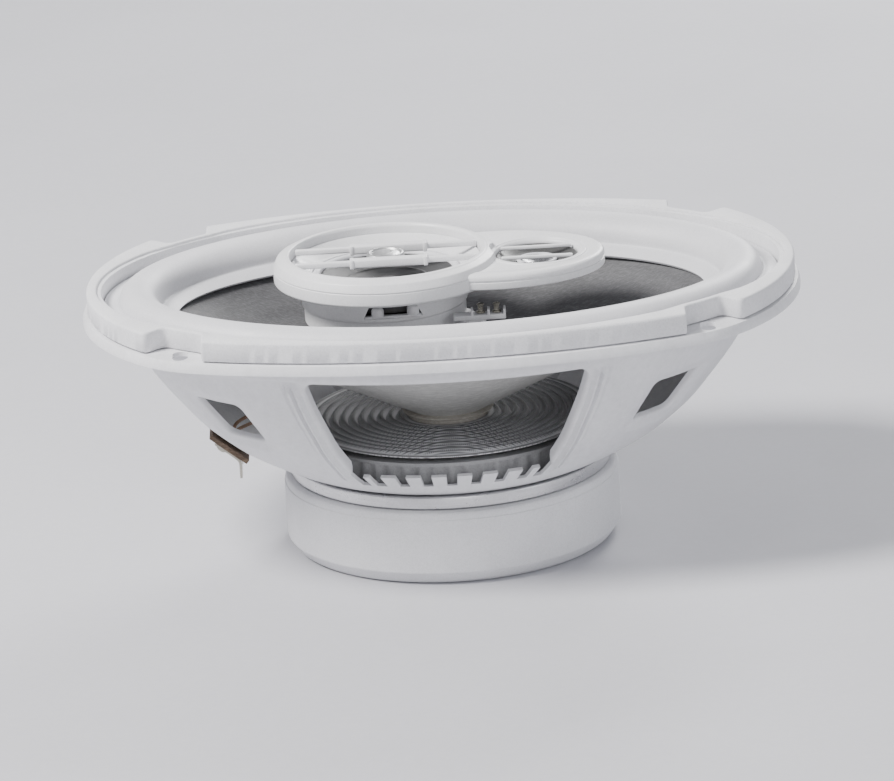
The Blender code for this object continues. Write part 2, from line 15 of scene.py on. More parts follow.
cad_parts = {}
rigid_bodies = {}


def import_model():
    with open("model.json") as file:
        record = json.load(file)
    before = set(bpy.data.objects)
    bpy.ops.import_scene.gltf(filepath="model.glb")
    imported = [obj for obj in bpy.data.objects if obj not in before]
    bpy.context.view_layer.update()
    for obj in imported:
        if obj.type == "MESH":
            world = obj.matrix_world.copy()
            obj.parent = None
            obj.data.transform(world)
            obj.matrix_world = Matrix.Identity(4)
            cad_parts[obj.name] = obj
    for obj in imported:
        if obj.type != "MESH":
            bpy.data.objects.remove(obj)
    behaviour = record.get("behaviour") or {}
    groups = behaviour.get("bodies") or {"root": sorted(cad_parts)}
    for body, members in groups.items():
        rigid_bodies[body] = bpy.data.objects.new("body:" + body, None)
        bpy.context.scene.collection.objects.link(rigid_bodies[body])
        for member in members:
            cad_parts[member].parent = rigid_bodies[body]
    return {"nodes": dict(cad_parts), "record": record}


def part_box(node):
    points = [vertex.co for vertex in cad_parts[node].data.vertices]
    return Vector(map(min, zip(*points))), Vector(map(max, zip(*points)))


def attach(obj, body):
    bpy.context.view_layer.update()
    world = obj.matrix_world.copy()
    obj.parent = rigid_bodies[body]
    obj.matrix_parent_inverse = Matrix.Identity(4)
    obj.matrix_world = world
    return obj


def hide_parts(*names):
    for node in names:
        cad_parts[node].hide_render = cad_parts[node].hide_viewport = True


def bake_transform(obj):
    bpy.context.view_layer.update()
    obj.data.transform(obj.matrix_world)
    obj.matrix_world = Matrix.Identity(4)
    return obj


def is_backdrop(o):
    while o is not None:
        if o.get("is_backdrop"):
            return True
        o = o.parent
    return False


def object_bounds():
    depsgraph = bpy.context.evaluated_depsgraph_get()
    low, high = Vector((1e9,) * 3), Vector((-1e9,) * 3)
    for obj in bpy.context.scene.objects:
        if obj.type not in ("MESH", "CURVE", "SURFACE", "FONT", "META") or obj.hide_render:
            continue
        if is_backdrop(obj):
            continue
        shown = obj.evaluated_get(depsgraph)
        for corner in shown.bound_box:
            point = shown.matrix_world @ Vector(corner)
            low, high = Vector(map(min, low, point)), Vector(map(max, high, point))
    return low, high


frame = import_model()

MM = 0.001
SPIDER_START, SPIDER_PITCH = 15.2, 3.1  # radius where the spider's rolls begin, and their spacing
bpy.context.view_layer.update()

# ---------------------------------------------------------------- materials


class Look:
    """A material while it is built. Each method adds a node and returns its main output."""

    def __init__(self, name, metallic=0.0):
        self.material = bpy.data.materials.new(name)
        self.material.use_nodes = True
        self.tree = self.material.node_tree
        self.shader = self.tree.nodes["Principled BSDF"]
        self.shader.inputs["Metallic"].default_value = metallic

    def node(self, kind, values, **settings):
        made = self.tree.nodes.new("ShaderNode" + kind)
        for key, value in settings.items():
            setattr(made, key, value)
        for key, value in values.items():
            if isinstance(value, bpy.types.NodeSocket):
                self.tree.links.new(value, made.inputs[key])
            else:
                made.inputs[key].default_value = value
        return made

    def math(self, operation, first, second=0.0):
        return self.node("Math", {0: first, 1: second}, operation=operation).outputs[0]

    def place(self, scale=(1, 1, 1), centre=(0, 0, 0), turn=0.0):
        spot = self.node("TexCoord", {}).outputs["Object"]
        moved = self.node("VectorMath", {0: spot, 1: centre}, operation="SUBTRACT").outputs[0]
        values = {"Vector": moved, "Scale": scale, "Rotation": (0, 0, turn)}
        return self.node("Mapping", values).outputs[0]

    def polar(self, scale, centre=(0, 0, 0), stretch=(1, 1, 1)):
        """Coordinates round an upright axis: distance from it, turn about it and height."""
        apart = self.node("SeparateXYZ", {0: self.place(stretch, centre)}).outputs
        squares = self.math("ADD", self.math("MULTIPLY", apart[0], apart[0]),
                            self.math("MULTIPLY", apart[1], apart[1]))
        radius = self.math("MULTIPLY", self.math("SQRT", squares), scale[0])
        turn = self.math("MULTIPLY", self.math("ARCTAN2", apart[1], apart[0]), scale[1])
        height = self.math("MULTIPLY", apart[2], scale[2])
        return self.node("CombineXYZ", {0: radius, 1: turn, 2: height}).outputs[0]

    def noise(self, spot, scale, detail=4.0, roughness=0.6, warp=0.0):
        values = {"Vector": spot, "Scale": scale, "Detail": detail, "Roughness": roughness,
                  "Distortion": warp}
        return self.node("TexNoise", values).outputs[0]

    def wave(self, spot, pitch, direction, warp=0.0):
        """Bands that repeat every `pitch` millimetres."""
        values = {"Vector": spot, "Scale": 2 * math.pi / (20 * pitch * MM), "Distortion": warp}
        return self.node("TexWave", values, bands_direction=direction).outputs["Fac"]

    def cells(self, spot, scale):
        return self.node("TexVoronoi", {"Vector": spot, "Scale": scale}).outputs["Distance"]

    def fit(self, value, span, into):
        values = {"Value": value, "From Min": span[0], "From Max": span[1],
                  "To Min": into[0], "To Max": into[1]}
        return self.node("MapRange", values).outputs[0]

    def mix(self, first, second, share):
        return self.node("Mix", {"Factor": share, "A": first, "B": second}, data_type="FLOAT").outputs[0]

    def ramp(self, value, stops):
        made = self.node("ValToRGB", {"Fac": value})
        steps = made.color_ramp.elements
        while len(steps) < len(stops):
            steps.new(0.5)
        for step, (at, colour) in zip(steps, stops):
            step.position = at
            step.color = (*colour, 1.0)
        return made.outputs[0]

    def bump(self, height, depth, before=None):
        values = {"Height": height, "Strength": 1.0, "Distance": depth * MM}
        if before is not None:
            values["Normal"] = before
        return self.node("Bump", values).outputs[0]

    def into(self, socket, value):
        self.tree.links.new(value, self.shader.inputs[socket])


def weave(look):
    """Plain cloth: threads one way over threads the other way."""
    spot = look.place()
    over_under = look.math("MULTIPLY", look.wave(spot, 0.62, "X", 0.6), look.wave(spot, 1.24, "Y"))
    return look.math("MAXIMUM", over_under, look.wave(spot, 0.62, "Y", 0.6))


def weave_with_painted_roll_shade(look):
    """Plain cloth with painted light on its rolls: pale crests as painted highlight and dark valleys as
    painted shade.
    """
    start = -2 * math.pi * SPIDER_START / SPIDER_PITCH - math.pi / 2
    values = {"Vector": look.polar((1, 0, 0)), "Scale": 2 * math.pi / (20 * SPIDER_PITCH * MM),
              "Phase Offset": start}
    # painted light: a tone wave that follows the rolls, pale on the crests (painted highlight) and dark in
    # the valleys (painted shade)
    painted_roll_shade = look.node("TexWave", values, bands_direction="X").outputs["Fac"]
    return look.mix(painted_roll_shade, weave(look), 0.38)


def fibres(look):
    """Long thin pulp fibres lying two ways."""
    layers = []
    for turn in (0.6, -0.9):
        spot = look.place((260, 2600, 1500), turn=turn)
        layers.append(look.fit(look.noise(spot, 1.0, 3.0, 0.6, 0.4), (0.5, 0.72), (0.0, 1.0)))
    return look.math("MAXIMUM", *layers)


def pores(look):
    """Small pits of a moulded foam or a pressed powder."""
    return look.fit(look.cells(look.place(), 1400.0), (0.1, 0.55), (0.0, 1.0))


def leather(look):
    """The fine cell pattern of a grained mould."""
    return look.fit(look.cells(look.place(), 2100.0), (0.05, 0.6), (0.2, 1.0))


def peel(look):
    """The soft ripple of a sprayed coat."""
    return look.noise(look.place(), 420.0, 2.0, 0.4)


def turned_marks(centre):
    """Fine circles left by a lathe or a press, about an upright axis."""
    def marks(look):
        return look.noise(look.polar((3600, 5, 3600), centre), 1.0, 3.0, 0.7)
    return marks


def windings(look):
    """Wire laid turn on turn."""
    return look.wave(look.place(), 0.30, "Z")


def strands(look):
    """Thin wires twisted along a lead."""
    return look.wave(look.place(turn=0.5), 0.26, "X", 0.8)


def rings(look):
    """Faint pressed rings of an oval cone, under its fibres."""
    oval = look.noise(look.polar((16, 0.6, 40), stretch=(1 / 0.092, 1 / 0.0578, 1)), 1.0, 4.0, 0.65)
    return look.mix(oval, fibres(look), 0.45)


LOOKS = {}


def finish(name, dark, light, rough, metallic=0.0, mottle=38.0, grain=1100.0, depth=0.012,
           marks=None, mark_depth=0.03, mark_tint=0.3):
    """Adds a look that runs from a dark to a light tone, with roughness and relief that follow it."""
    look = Look(name, metallic)
    spot = look.place()
    large = look.noise(spot, mottle, 6.0, 0.62, 0.3)
    fine = look.noise(spot, grain, 3.0, 0.7)
    tone = look.mix(large, fine, 0.4)
    normal = look.bump(fine, depth)
    if marks:
        mark = marks(look)
        tone = look.mix(tone, mark, mark_tint)
        normal = look.bump(mark, mark_depth, normal)
    look.into("Base Color", look.ramp(tone, [(0.32, dark), (0.66, light)]))
    worn = look.mix(look.noise(spot, mottle * 2.7, 5.0, 0.7), fine, 0.4)
    look.into("Roughness", look.fit(worn, (0.3, 0.7), rough))
    look.into("Normal", normal)
    LOOKS[name] = look


def grey(level, blue=0.0):
    return level, level, level * (1 + blue)


def upright_axis(node):
    """Where the node's upright axis stands, in metres."""
    low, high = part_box(node)
    return (low.x + high.x) / 2, 0, 0


WOOFER_AXIS = (0.0, 0.0, 0.0)
MID_AXIS, TWEETER_AXIS = upright_axis("mid_waveguide"), upright_axis("tweeter_horn")

finish("painted_steel", grey(0.62, 0.03), grey(0.76, 0.03), (0.36, 0.52),
       marks=peel, mark_depth=0.05, mark_tint=0.25)
finish("gasket_rubber", grey(0.58, 0.03), grey(0.73, 0.03), (0.68, 0.86),
       marks=pores, mark_depth=0.03, mark_tint=0.12)
finish("surround_rubber", grey(0.55, 0.04), grey(0.67, 0.04), (0.44, 0.60),
       marks=leather, mark_depth=0.02, mark_tint=0.15)
finish("boot_rubber", grey(0.58, 0.03), grey(0.71, 0.03), (0.50, 0.70),
       marks=leather, mark_depth=0.05, mark_tint=0.2)
finish("cone_paper", grey(0.070, 0.05), grey(0.150, 0.05), (0.55, 0.78),
       marks=rings, mark_depth=0.06, mark_tint=0.55)
finish("cone_back", grey(0.50, -0.03), grey(0.72, -0.03), (0.74, 0.92),
       marks=fibres, mark_depth=0.07, mark_tint=0.35)
# the spider cloth's wide dark-to-light range carries painted shade in the roll valleys and painted highlight
# on the crests
finish("spider_cloth", grey(0.07, 0.03), grey(0.62, 0.03), (0.78, 0.95),
       marks=weave_with_painted_roll_shade, mark_depth=0.10, mark_tint=0.75)
finish("ferrite", grey(0.025), grey(0.075), (0.42, 0.66), marks=pores, mark_depth=0.05)
finish("plated_steel", grey(0.46, 0.02), grey(0.70, 0.02), (0.22, 0.42), 1.0,
       marks=turned_marks(WOOFER_AXIS), mark_depth=0.012, mark_tint=0.35)
finish("mid_steel", grey(0.40), grey(0.62), (0.22, 0.42), 1.0,
       marks=turned_marks(MID_AXIS), mark_depth=0.01)
finish("pod_plastic", grey(0.64, 0.02), grey(0.78, 0.02), (0.30, 0.46),
       marks=leather, mark_depth=0.018, mark_tint=0.12)
finish("ring_plastic", grey(0.20, 0.02), grey(0.34, 0.02), (0.40, 0.60),
       marks=leather, mark_depth=0.03, mark_tint=0.2)
finish("badge_metal", grey(0.50), grey(0.74), (0.38, 0.52), 1.0,
       marks=turned_marks(MID_AXIS), mark_depth=0.015, mark_tint=0.4)
finish("dark_plastic", grey(0.022), grey(0.060), (0.34, 0.55), marks=leather, mark_depth=0.03)
finish("diaphragm", grey(0.018, 0.04), grey(0.045, 0.04), (0.42, 0.60),
       marks=turned_marks(MID_AXIS), mark_depth=0.02, mark_tint=0.4)
finish("metal_dome", grey(0.20, 0.03), grey(0.42, 0.03), (0.18, 0.34), 1.0,
       marks=turned_marks(TWEETER_AXIS), mark_depth=0.008, mark_tint=0.35)
finish("copper", (0.36, 0.13, 0.05), (0.72, 0.34, 0.18), (0.24, 0.40), 1.0,
       marks=windings, mark_depth=0.08, mark_tint=0.5)
finish("tinsel", (0.42, 0.25, 0.16), (0.78, 0.58, 0.44), (0.26, 0.44), 1.0,
       marks=strands, mark_depth=0.05, mark_tint=0.4)
finish("coil_paper", (0.50, 0.47, 0.42), (0.68, 0.66, 0.61), (0.50, 0.72), marks=fibres, mark_depth=0.03)
finish("fibre_board", (0.085, 0.055, 0.035), (0.19, 0.13, 0.085), (0.50, 0.74),
       marks=fibres, mark_depth=0.04, mark_tint=0.5)
finish("tinned_brass", (0.27, 0.26, 0.22), (0.52, 0.50, 0.44), (0.20, 0.40), 1.0,
       marks=peel, mark_depth=0.02)
for name, weight, sheen_rough in (("spider_cloth", 0.35, 0.5), ("cone_back", 0.15, 0.6)):
    LOOKS[name].shader.inputs["Sheen Weight"].default_value = weight
    LOOKS[name].shader.inputs["Sheen Roughness"].default_value = sheen_rough

# ---------------------------------------------------------------- mesh helpers


def coat(mesh, look):
    mesh.materials.clear()
    mesh.materials.append(LOOKS[look].material)


def show(name, mesh, look, sharp=38):
    """An object of this mesh with one of the looks, shaded smooth but for its edges."""
    coat(mesh, look)
    mesh.shade_smooth()
    mesh.set_sharp_from_angle(angle=math.radians(sharp))
    return placed(name, mesh)


def mesh_from(name, points, faces):
    """A closed mesh with its normals outwards, from points in millimetres."""
    made = bpy.data.meshes.new(name)
    made.from_pydata([tuple(p) for p in np.asarray(points, float) * MM], [], faces)
    bm = bmesh.new()
    bm.from_mesh(made)
    bmesh.ops.remove_doubles(bm, verts=bm.verts, dist=1e-7)
    bmesh.ops.recalc_face_normals(bm, faces=bm.faces)
    bm.to_mesh(made)
    bm.free()
    return made


def band_faces(rows, columns, wrap=True):
    """Quads between the rows of a grid whose columns go round, as indexes into its points."""
    faces = []
    for i in range(rows if wrap else rows - 1):
        upper, lower = i * columns, (i + 1) % rows * columns
        for j in range(columns):
            k = (j + 1) % columns
            faces.append((upper + j, lower + j, lower + k, upper + k))
    return faces


def ring_mesh(name, grid, wrap=True):
    grid = np.asarray(grid, float)
    return mesh_from(name, grid.reshape(-1, 3), band_faces(*grid.shape[:2], wrap))


def soften(points, radius, closed=True, segments=4):
    """The same line with each corner rounded off to about this radius."""
    points = [np.array(p, float) for p in points]
    line = []
    for i, corner in enumerate(points):
        if not closed and i in (0, len(points) - 1):
            line.append(corner)
            continue
        before, after = points[i - 1] - corner, points[(i + 1) % len(points)] - corner
        reach = min(radius, 0.45 * np.linalg.norm(before), 0.45 * np.linalg.norm(after))
        start = corner + before / np.linalg.norm(before) * reach
        end = corner + after / np.linalg.norm(after) * reach
        for k in range(segments + 1):
            t = k / segments
            line.append((1 - t) ** 2 * start + 2 * t * (1 - t) * corner + t * t * end)
    return line


def turned(name, profile, radius=0.4, steps=128, segments=4, flute=None):
    """A solid of revolution about Z from (radius, height) points, with its corners rounded."""
    on_axis = profile[0][0] == 0
    line = np.array(soften(profile, radius, not on_axis, segments))
    turn = np.arange(steps) * 2 * math.pi / steps
    reach = line[:, :1] * np.ones(steps)
    if flute:
        reach = flute(reach, line[:, 1:], turn)
    grid = np.stack([reach * np.cos(turn), reach * np.sin(turn), line[:, 1:] * np.ones(steps)], -1)
    return ring_mesh(name, grid, not on_axis)


def oval_solid(name, rows, steps=180, centre=(0, 0), wrap=True):
    """A solid through oval rows of (half-length, half-width, height)."""
    turn = np.arange(steps) * 2 * math.pi / steps
    grid = [np.stack([centre[0] + a * np.cos(turn), centre[1] + b * np.sin(turn), z + 0 * turn], -1)
            for a, b, z in rows]
    return ring_mesh(name, grid, wrap)


def shift(mesh, offset):
    mesh.transform(Matrix.Translation(Vector(offset) * MM))
    return mesh


def block(name, size, at, round_by=0.3, segments=3, turn=None):
    """A box with rounded edges."""
    bm = bmesh.new()
    bmesh.ops.create_cube(bm, size=1.0, matrix=Matrix.Diagonal((*(s * MM for s in size), 1.0)))
    bmesh.ops.bevel(bm, geom=list(bm.edges), offset=round_by * MM, segments=segments, profile=0.5,
                    affect="EDGES")
    made = bpy.data.meshes.new(name)
    bm.to_mesh(made)
    bm.free()
    if turn:
        made.transform(turn)
    return shift(made, at)


def joined(name, meshes):
    """One mesh that holds all of these."""
    bm = bmesh.new()
    for mesh in meshes:
        bm.from_mesh(mesh)
    made = bpy.data.meshes.new(name)
    bm.to_mesh(made)
    bm.free()
    return made


def placed(name, data):
    """An object of this data, linked into the scene."""
    made = bpy.data.objects.new(name, data)
    bpy.context.scene.collection.objects.link(made)
    return made


def modified(thing, *tools):
    """The mesh that the object's modifiers make; the object and its tools are removed."""
    bpy.context.view_layer.update()
    graph = bpy.context.evaluated_depsgraph_get()
    made = bpy.data.meshes.new_from_object(thing.evaluated_get(graph))
    for done in (thing, *tools):
        bpy.data.objects.remove(done, do_unlink=True)
    return made


def cut(mesh, *others, operation="DIFFERENCE"):
    """The mesh after a Boolean with each of the others in turn."""
    thing = placed("cut_base", mesh)
    tools = [placed("cut_tool", other) for other in others]
    for tool in tools:
        step = thing.modifiers.new("Cut", "BOOLEAN")
        step.operation, step.object, step.solver = operation, tool, "EXACT"
    return modified(thing, *tools)


def dress(node, mesh, look, sharp=38):
    """A piece of this mesh that stands for a CAD node: it takes the node's place and body, and gets the look
    named.
    """
    piece = show(node + "_fine", mesh, look, sharp)
    bodies = frame["record"]["behaviour"]["bodies"]
    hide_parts(node)
    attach(piece, next(body for body, nodes in bodies.items() if node in nodes))
    return piece


def extra(name, mesh, look, body):
    """A piece that no CAD node stands for."""
    piece = show(name, mesh, look)
    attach(piece, body)


def extent(node):
    """The node's lowest and highest corners, in millimetres."""
    return tuple(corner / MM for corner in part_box(node))


def middle(node):
    low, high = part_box(node)
    return (low + high) / 2 / MM


def over(mesh, node):
    """The mesh moved sideways to the node's own axis."""
    at = middle(node)
    return shift(mesh, (at.x, at.y, 0))


def oval_fraction(points, inner, outer):
    """How far each point lies from the inner oval, 0, to the outer one, 1."""
    low, high = np.zeros(len(points)), np.ones(len(points))
    for _ in range(30):
        mid = (low + high) / 2
        a, b = (inner[i] + mid * (outer[i] - inner[i]) for i in range(2))
        beyond = (points[:, 0] / a) ** 2 + (points[:, 1] / b) ** 2 > 1
        low, high = np.where(beyond, mid, low), np.where(beyond, high, mid)
    return (low + high) / 2


def flex(node, mesh, slot, inner, outer, centre=(0, 0)):
    """A piece that takes a CAD node's place between the fixed frame at the outer oval and a moving body at
    the inner one. It is given no body, and each point's share of the way from the outer oval to the inner one
    is worked out but not used.
    """
    piece = show(node + "_fine", mesh, slot, 60)
    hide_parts(node)
    z = middle(node)[2]
    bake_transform(piece)
    points = np.array([v.co[:2] for v in piece.data.vertices]) / MM - np.array(centre)
    share = 1 - oval_fraction(points, inner, outer)


ROOT = [j["parent"] for j in frame["record"]["behaviour"]["joints"]][0]

# ---------------------------------------------------------------- basket

LENGTH, WIDTH = 235.0, 164.0
SIDE_ARC_R, END_ARC_R, EAR_SHARPNESS = 235.4, 85.8, 60
SHEET = 1.4
EAR_SLOT = (84.5, 58.6)
RING_WALL = (105.0, 73.6)
# Oval rings of the sheet's outer face (height, half-length, half-width) and how far each bend is rounded
BASKET_RINGS = (
    (82.6, *RING_WALL, 2.2), (75.6, *RING_WALL, 0.5), (74.4, 102.4, 72.6, 0.5), (62.4, 95.0, 68.2, 6.0),
    (46.6, 82.2, 59.4, 4.0), (40.4, 74.8, 55.6, 2.4), (36.4, 69.4, 52.8, 2.0), (33.2, 62.4, 52.2, 1.0),
    (31.0, 56.6, 52.0, 1.0), (29.8, 51.2, 51.2, 0.8), (29.8, 19.0, 19.0, 0.8),
)
TOP_RING, VENT_TOP, VENT_FOOT, BOARD_TOP, WINDOW_FOOT, SLOT_FOOT = 4, 5, 6, 7, 8, 9  # bends, from the lip
WINDOW_EDGE, VENT_EDGES = 62.5, (28.5, 44.5)  # turns in degrees from either end of the oval
RIB_T, RIB_HEIGHT, DISH_DEPTH = 3.4, 1.6, 0.9
RIB_GROOVES = ((0.55, 1.3), (1.12, 0.7))  # where across the rib, and how deep


def outline_reach(angle):
    """Distance from the centre to the flange's edge in one quarter, from 0 at +X to a right angle."""
    def arc(x, y, r):
        near = x * np.cos(angle) + y * np.sin(angle)
        return near + np.sqrt(near**2 - (x * x + y * y - r * r))
    end, side = arc(LENGTH / 2 - END_ARC_R, 0, END_ARC_R), arc(0, WIDTH / 2 - SIDE_ARC_R, SIDE_ARC_R)
    both = (end ** -float(EAR_SHARPNESS) + side ** -float(EAR_SHARPNESS)) ** (-1 / EAR_SHARPNESS)
    return np.where(angle > math.radians(60), side, np.where(angle < math.radians(20), end, both))


def flange_edge(t, inset):
    x, y = RING_WALL[0] * np.cos(t), RING_WALL[1] * np.sin(t)
    angle = np.arctan2(abs(y), abs(x))
    reach = outline_reach(angle) - inset
    return np.copysign(reach * np.cos(angle), x), np.copysign(reach * np.sin(angle), y)


def control_points(t):
    """The basket's bends at each of these turns, as an array (bend, turn, XYZ)."""
    edge = flange_edge(t, SHEET)
    made = [np.stack([*edge, z + 0 * t], -1) for z in (80.5, 82.6)]
    for z, a, b, _ in BASKET_RINGS:
        made.append(np.stack([a * np.cos(t), b * np.sin(t), z + 0 * t], -1))
    return np.array(made)


BENDS = (0.0, 0.9, *(ring[3] for ring in BASKET_RINGS))
# Distances between the bends, taken down the long side
BEND_GAPS = np.linalg.norm(np.diff(control_points(np.array([math.radians(75)]))[:, 0], axis=0), axis=1)


def basket_face(t, q):
    """Points of the sheet's outer face, where q counts the bends from the lip down: 4.5 is half way
    between the fourth and the fifth."""
    bends = control_points(t)
    count = len(bends) - 1
    near = np.clip(np.round(q).astype(int), 0, count)
    column = np.arange(len(t))
    before, here, after = (bends[np.clip(near + k, 0, count), column] for k in (-1, 0, 1))
    radius = np.array(BENDS)[near]
    back = np.minimum(radius / BEND_GAPS[np.clip(near - 1, 0, count - 1)], 0.45)[:, None]
    forth = np.minimum(radius / BEND_GAPS[np.clip(near, 0, count - 1)], 0.45)[:, None]
    off = (q - near)[:, None]
    flat = np.where(off < 0, here + (before - here) * -off, here + (after - here) * off)
    span = np.where(off < 0, back, forth)
    inside = (abs(off) < span) & ((near > 0) & (near < count))[:, None]
    s = 0.5 + 0.5 * off / np.maximum(span, 1e-9)
    curve = (1 - s) ** 2 * (here + (before - here) * back) + 2 * s * (1 - s) * here
    curve = curve + s * s * (here + (after - here) * forth)
    return np.where(inside, curve, flat)


def basket_columns():
    """Turns of the grid's columns in degrees, closer together where the ribs stand."""
    made = {j + 0.5 for j in range(360)}
    for edge in (WINDOW_EDGE, 180 - WINDOW_EDGE, 180 + WINDOW_EDGE, 360 - WINDOW_EDGE):
        close = [edge + side * k / 3 for k in range(1, 18) for side in (-1, 1)]
        made |= {round(turn, 4) for turn in close if abs(turn - 90) % 180 > 24}
    return np.array(sorted(made))


def basket_rows():
    """Places down the sheet, about a millimetre apart where it shows, with each bend among them."""
    made = [0.0]
    for i, gap in enumerate(BEND_GAPS):
        pieces = max(2, round(gap / (1.15 if 3 < i < 9 else 1.6)))
        made += [i + k / pieces for k in range(1, pieces + 1)]
    return np.array(made)


def folded(degrees):
    """The turn mirrored into the first quarter, from 0 at either end to 90 at either side."""
    half = degrees % 180
    return np.minimum(half, 180 - half)


SLOT_SPANS = [(90 + 7 * k - 2, 90 + 7 * k + 2) for k in range(-3, 4)] + [(62.5, 65.5), (114.5, 117.5)]


def open_cell(t, q):
    """Whether the cell with this middle is cut away."""
    if folded(t) > WINDOW_EDGE and TOP_RING < q < WINDOW_FOOT:
        return True
    if VENT_EDGES[0] < folded(t) < VENT_EDGES[1] and VENT_TOP < q < VENT_FOOT:
        return True
    if 175.5 < t < 184.5 and BOARD_TOP < q < WINDOW_FOOT:
        return True
    return WINDOW_FOOT < q < SLOT_FOOT and any(a < t % 180 < b for a, b in SLOT_SPANS)


def rounded_corners():
    """Corners of openings that are rounded: turn, place down the sheet, radius, and the two ways in which
    the opening lies."""
    made = []
    for base in (0, 180):
        made += [(base + WINDOW_EDGE, TOP_RING, 5.0, 1, 1), (base + 180 - WINDOW_EDGE, TOP_RING, 5.0, -1, 1)]
    near, far = VENT_EDGES
    vents = ((near, far), (180 - far, 180 - near), (180 + near, 180 + far), (360 - far, 360 - near))
    for left, right in vents:
        for q, way in ((VENT_TOP, 1), (VENT_FOOT, -1)):
            made += [(left, q, 3.0, 1, way), (right, q, 3.0, -1, way)]
    return made


def rounding(columns, rows):
    """Shifts of the grid's points, in degrees and in bends, that round the corners of the openings."""
    turn, down = np.meshgrid(columns, rows)
    pinned = np.zeros(turn.shape, bool)
    new_turn, new_down = turn.copy(), down.copy()
    for at, q, radius, way_t, way_q in rounded_corners():
        here = control_points(np.array([math.radians(at)]))[q, 0]
        beside = control_points(np.array([math.radians(at + 1)]))[q, 0]
        reach_t = radius / np.linalg.norm(beside - here)
        reach_q = radius / BEND_GAPS[q if way_q > 0 else q - 1]
        along = (turn - at) * way_t / reach_t
        across = (down - q) * way_q / reach_q
        on_row = (abs(across) < 1e-6) & (along > -1e-6) & (along < 1)
        on_column = (abs(along) < 1e-6) & (across > -1e-6) & (across < 1)
        for where, share, start, sign in ((on_row, 1 - along, 0.0, 1), (on_column, 1 - across, 90.0, -1)):
            angle = np.radians(start + sign * 45 * share[where])
            new_turn[where] = at + way_t * reach_t * (1 - np.sin(angle))
            new_down[where] = q + way_q * reach_q * (1 - np.cos(angle))
            pinned |= where
    return new_turn, new_down, pinned


def relaxed(turn, down, pinned, edge, passes=14):
    """The grid's points drawn after the pinned ones, fading with distance."""
    move_t, move_q = turn[1] - turn[0], down[1] - down[0]
    free = ~(pinned | edge)
    for _ in range(passes):
        for move in (move_t, move_q):
            around = [np.roll(move, step, axis) for axis in (0, 1) for step in (1, -1)]
            mean = sum(around[1:], around[0]) / 4
            mean[0] = mean[-1] = 0
            move[free] = mean[free] * 0.97
    return turn[0] + move_t, down[0] + move_q


def basket_grid():
    """Turns and places of the grid's points, and which of its cells are open."""
    columns, rows = basket_columns(), basket_rows()
    beside = np.roll(columns, -1)
    beside[-1] += 360
    middles = (columns + beside) / 2
    holes = np.array([[open_cell(t, q) for t in middles] for q in (rows[1:] + rows[:-1]) / 2], bool)
    solid = np.zeros((1, len(columns)), bool)
    padded = np.vstack([solid, holes, solid])
    around = [padded[:-1], padded[1:], np.roll(padded, 1, 1)[:-1], np.roll(padded, 1, 1)[1:]]
    count = sum(a.astype(int) for a in around)
    edge = (count > 0) & (count < 4)
    new_turn, new_down, pinned = rounding(columns, rows)
    turn, down = np.meshgrid(columns, rows)
    turn, down = relaxed((turn, new_turn), (down, new_down), pinned, edge)
    return turn, down, holes


def rib_height(turn, down):
    """How far the sheet is pressed out as a rib beside each big window, or in as a dish round each vent."""
    away = (WINDOW_EDGE - folded(turn)) / RIB_T
    across = np.clip((away - 0.16) / 0.1, 0, 1) * np.clip((1.0 - away) / 0.1, 0, 1)
    along = np.clip((down - TOP_RING - 0.05) / 0.12, 0, 1) * np.clip((WINDOW_FOOT + 0.6 - down) / 0.6, 0, 1)
    grooves = sum(depth * np.clip(1.3 - abs(away - at) / 0.1, 0, 1) for at, depth in RIB_GROOVES)
    dish = np.clip(10 - abs(folded(turn) - 36.5), 0, 1.5) / 1.5
    dish *= np.clip((down - VENT_TOP + 0.22) / 0.1, 0, 1) * np.clip((VENT_FOOT + 0.34 - down) / 0.16, 0, 1)
    return (RIB_HEIGHT * across**0.7 - grooves) * along - DISH_DEPTH * dish


def face_points(turn, down):
    """Points and outward normals of the sheet at these grid places."""
    shape = turn.shape
    t, q = np.radians(turn.reshape(-1)), down.reshape(-1)
    last = len(BENDS) - 1
    here = basket_face(t, np.clip(q, 0, last))
    across = basket_face(t + 1e-3, q) - basket_face(t - 1e-3, q)
    along = basket_face(t, np.clip(q + 0.02, 0, last)) - basket_face(t, np.clip(q - 0.02, 0, last))
    normal = np.cross(along, across)
    normal /= np.linalg.norm(normal, axis=1)[:, None]
    return here.reshape(*shape, 3), normal.reshape(*shape, 3)


LIP_PROFILE = ((0.45, 0.12), (0.85, 0.5), (1.0, 1.0), (1.0, 1.6), (1.0, 2.2))  # out over the opening, and in
VENT_LIP, WINDOW_LIP, LIP_OUT = 2.2, 3.4, 0.9


def lip_depth(turn, down):
    """How far the sheet's edge is folded in at this place, or 0 for a plain edge."""
    if 28 < folded(turn) < 45 and VENT_TOP - 0.01 < down < VENT_FOOT + 0.01:
        return VENT_LIP
    if folded(turn) > 62 and TOP_RING - 0.01 < down < WINDOW_FOOT + 0.01:
        return WINDOW_LIP * min(1.0, max(0.0, (WINDOW_FOOT - 0.02 - down) / 0.7))
    return 0.0


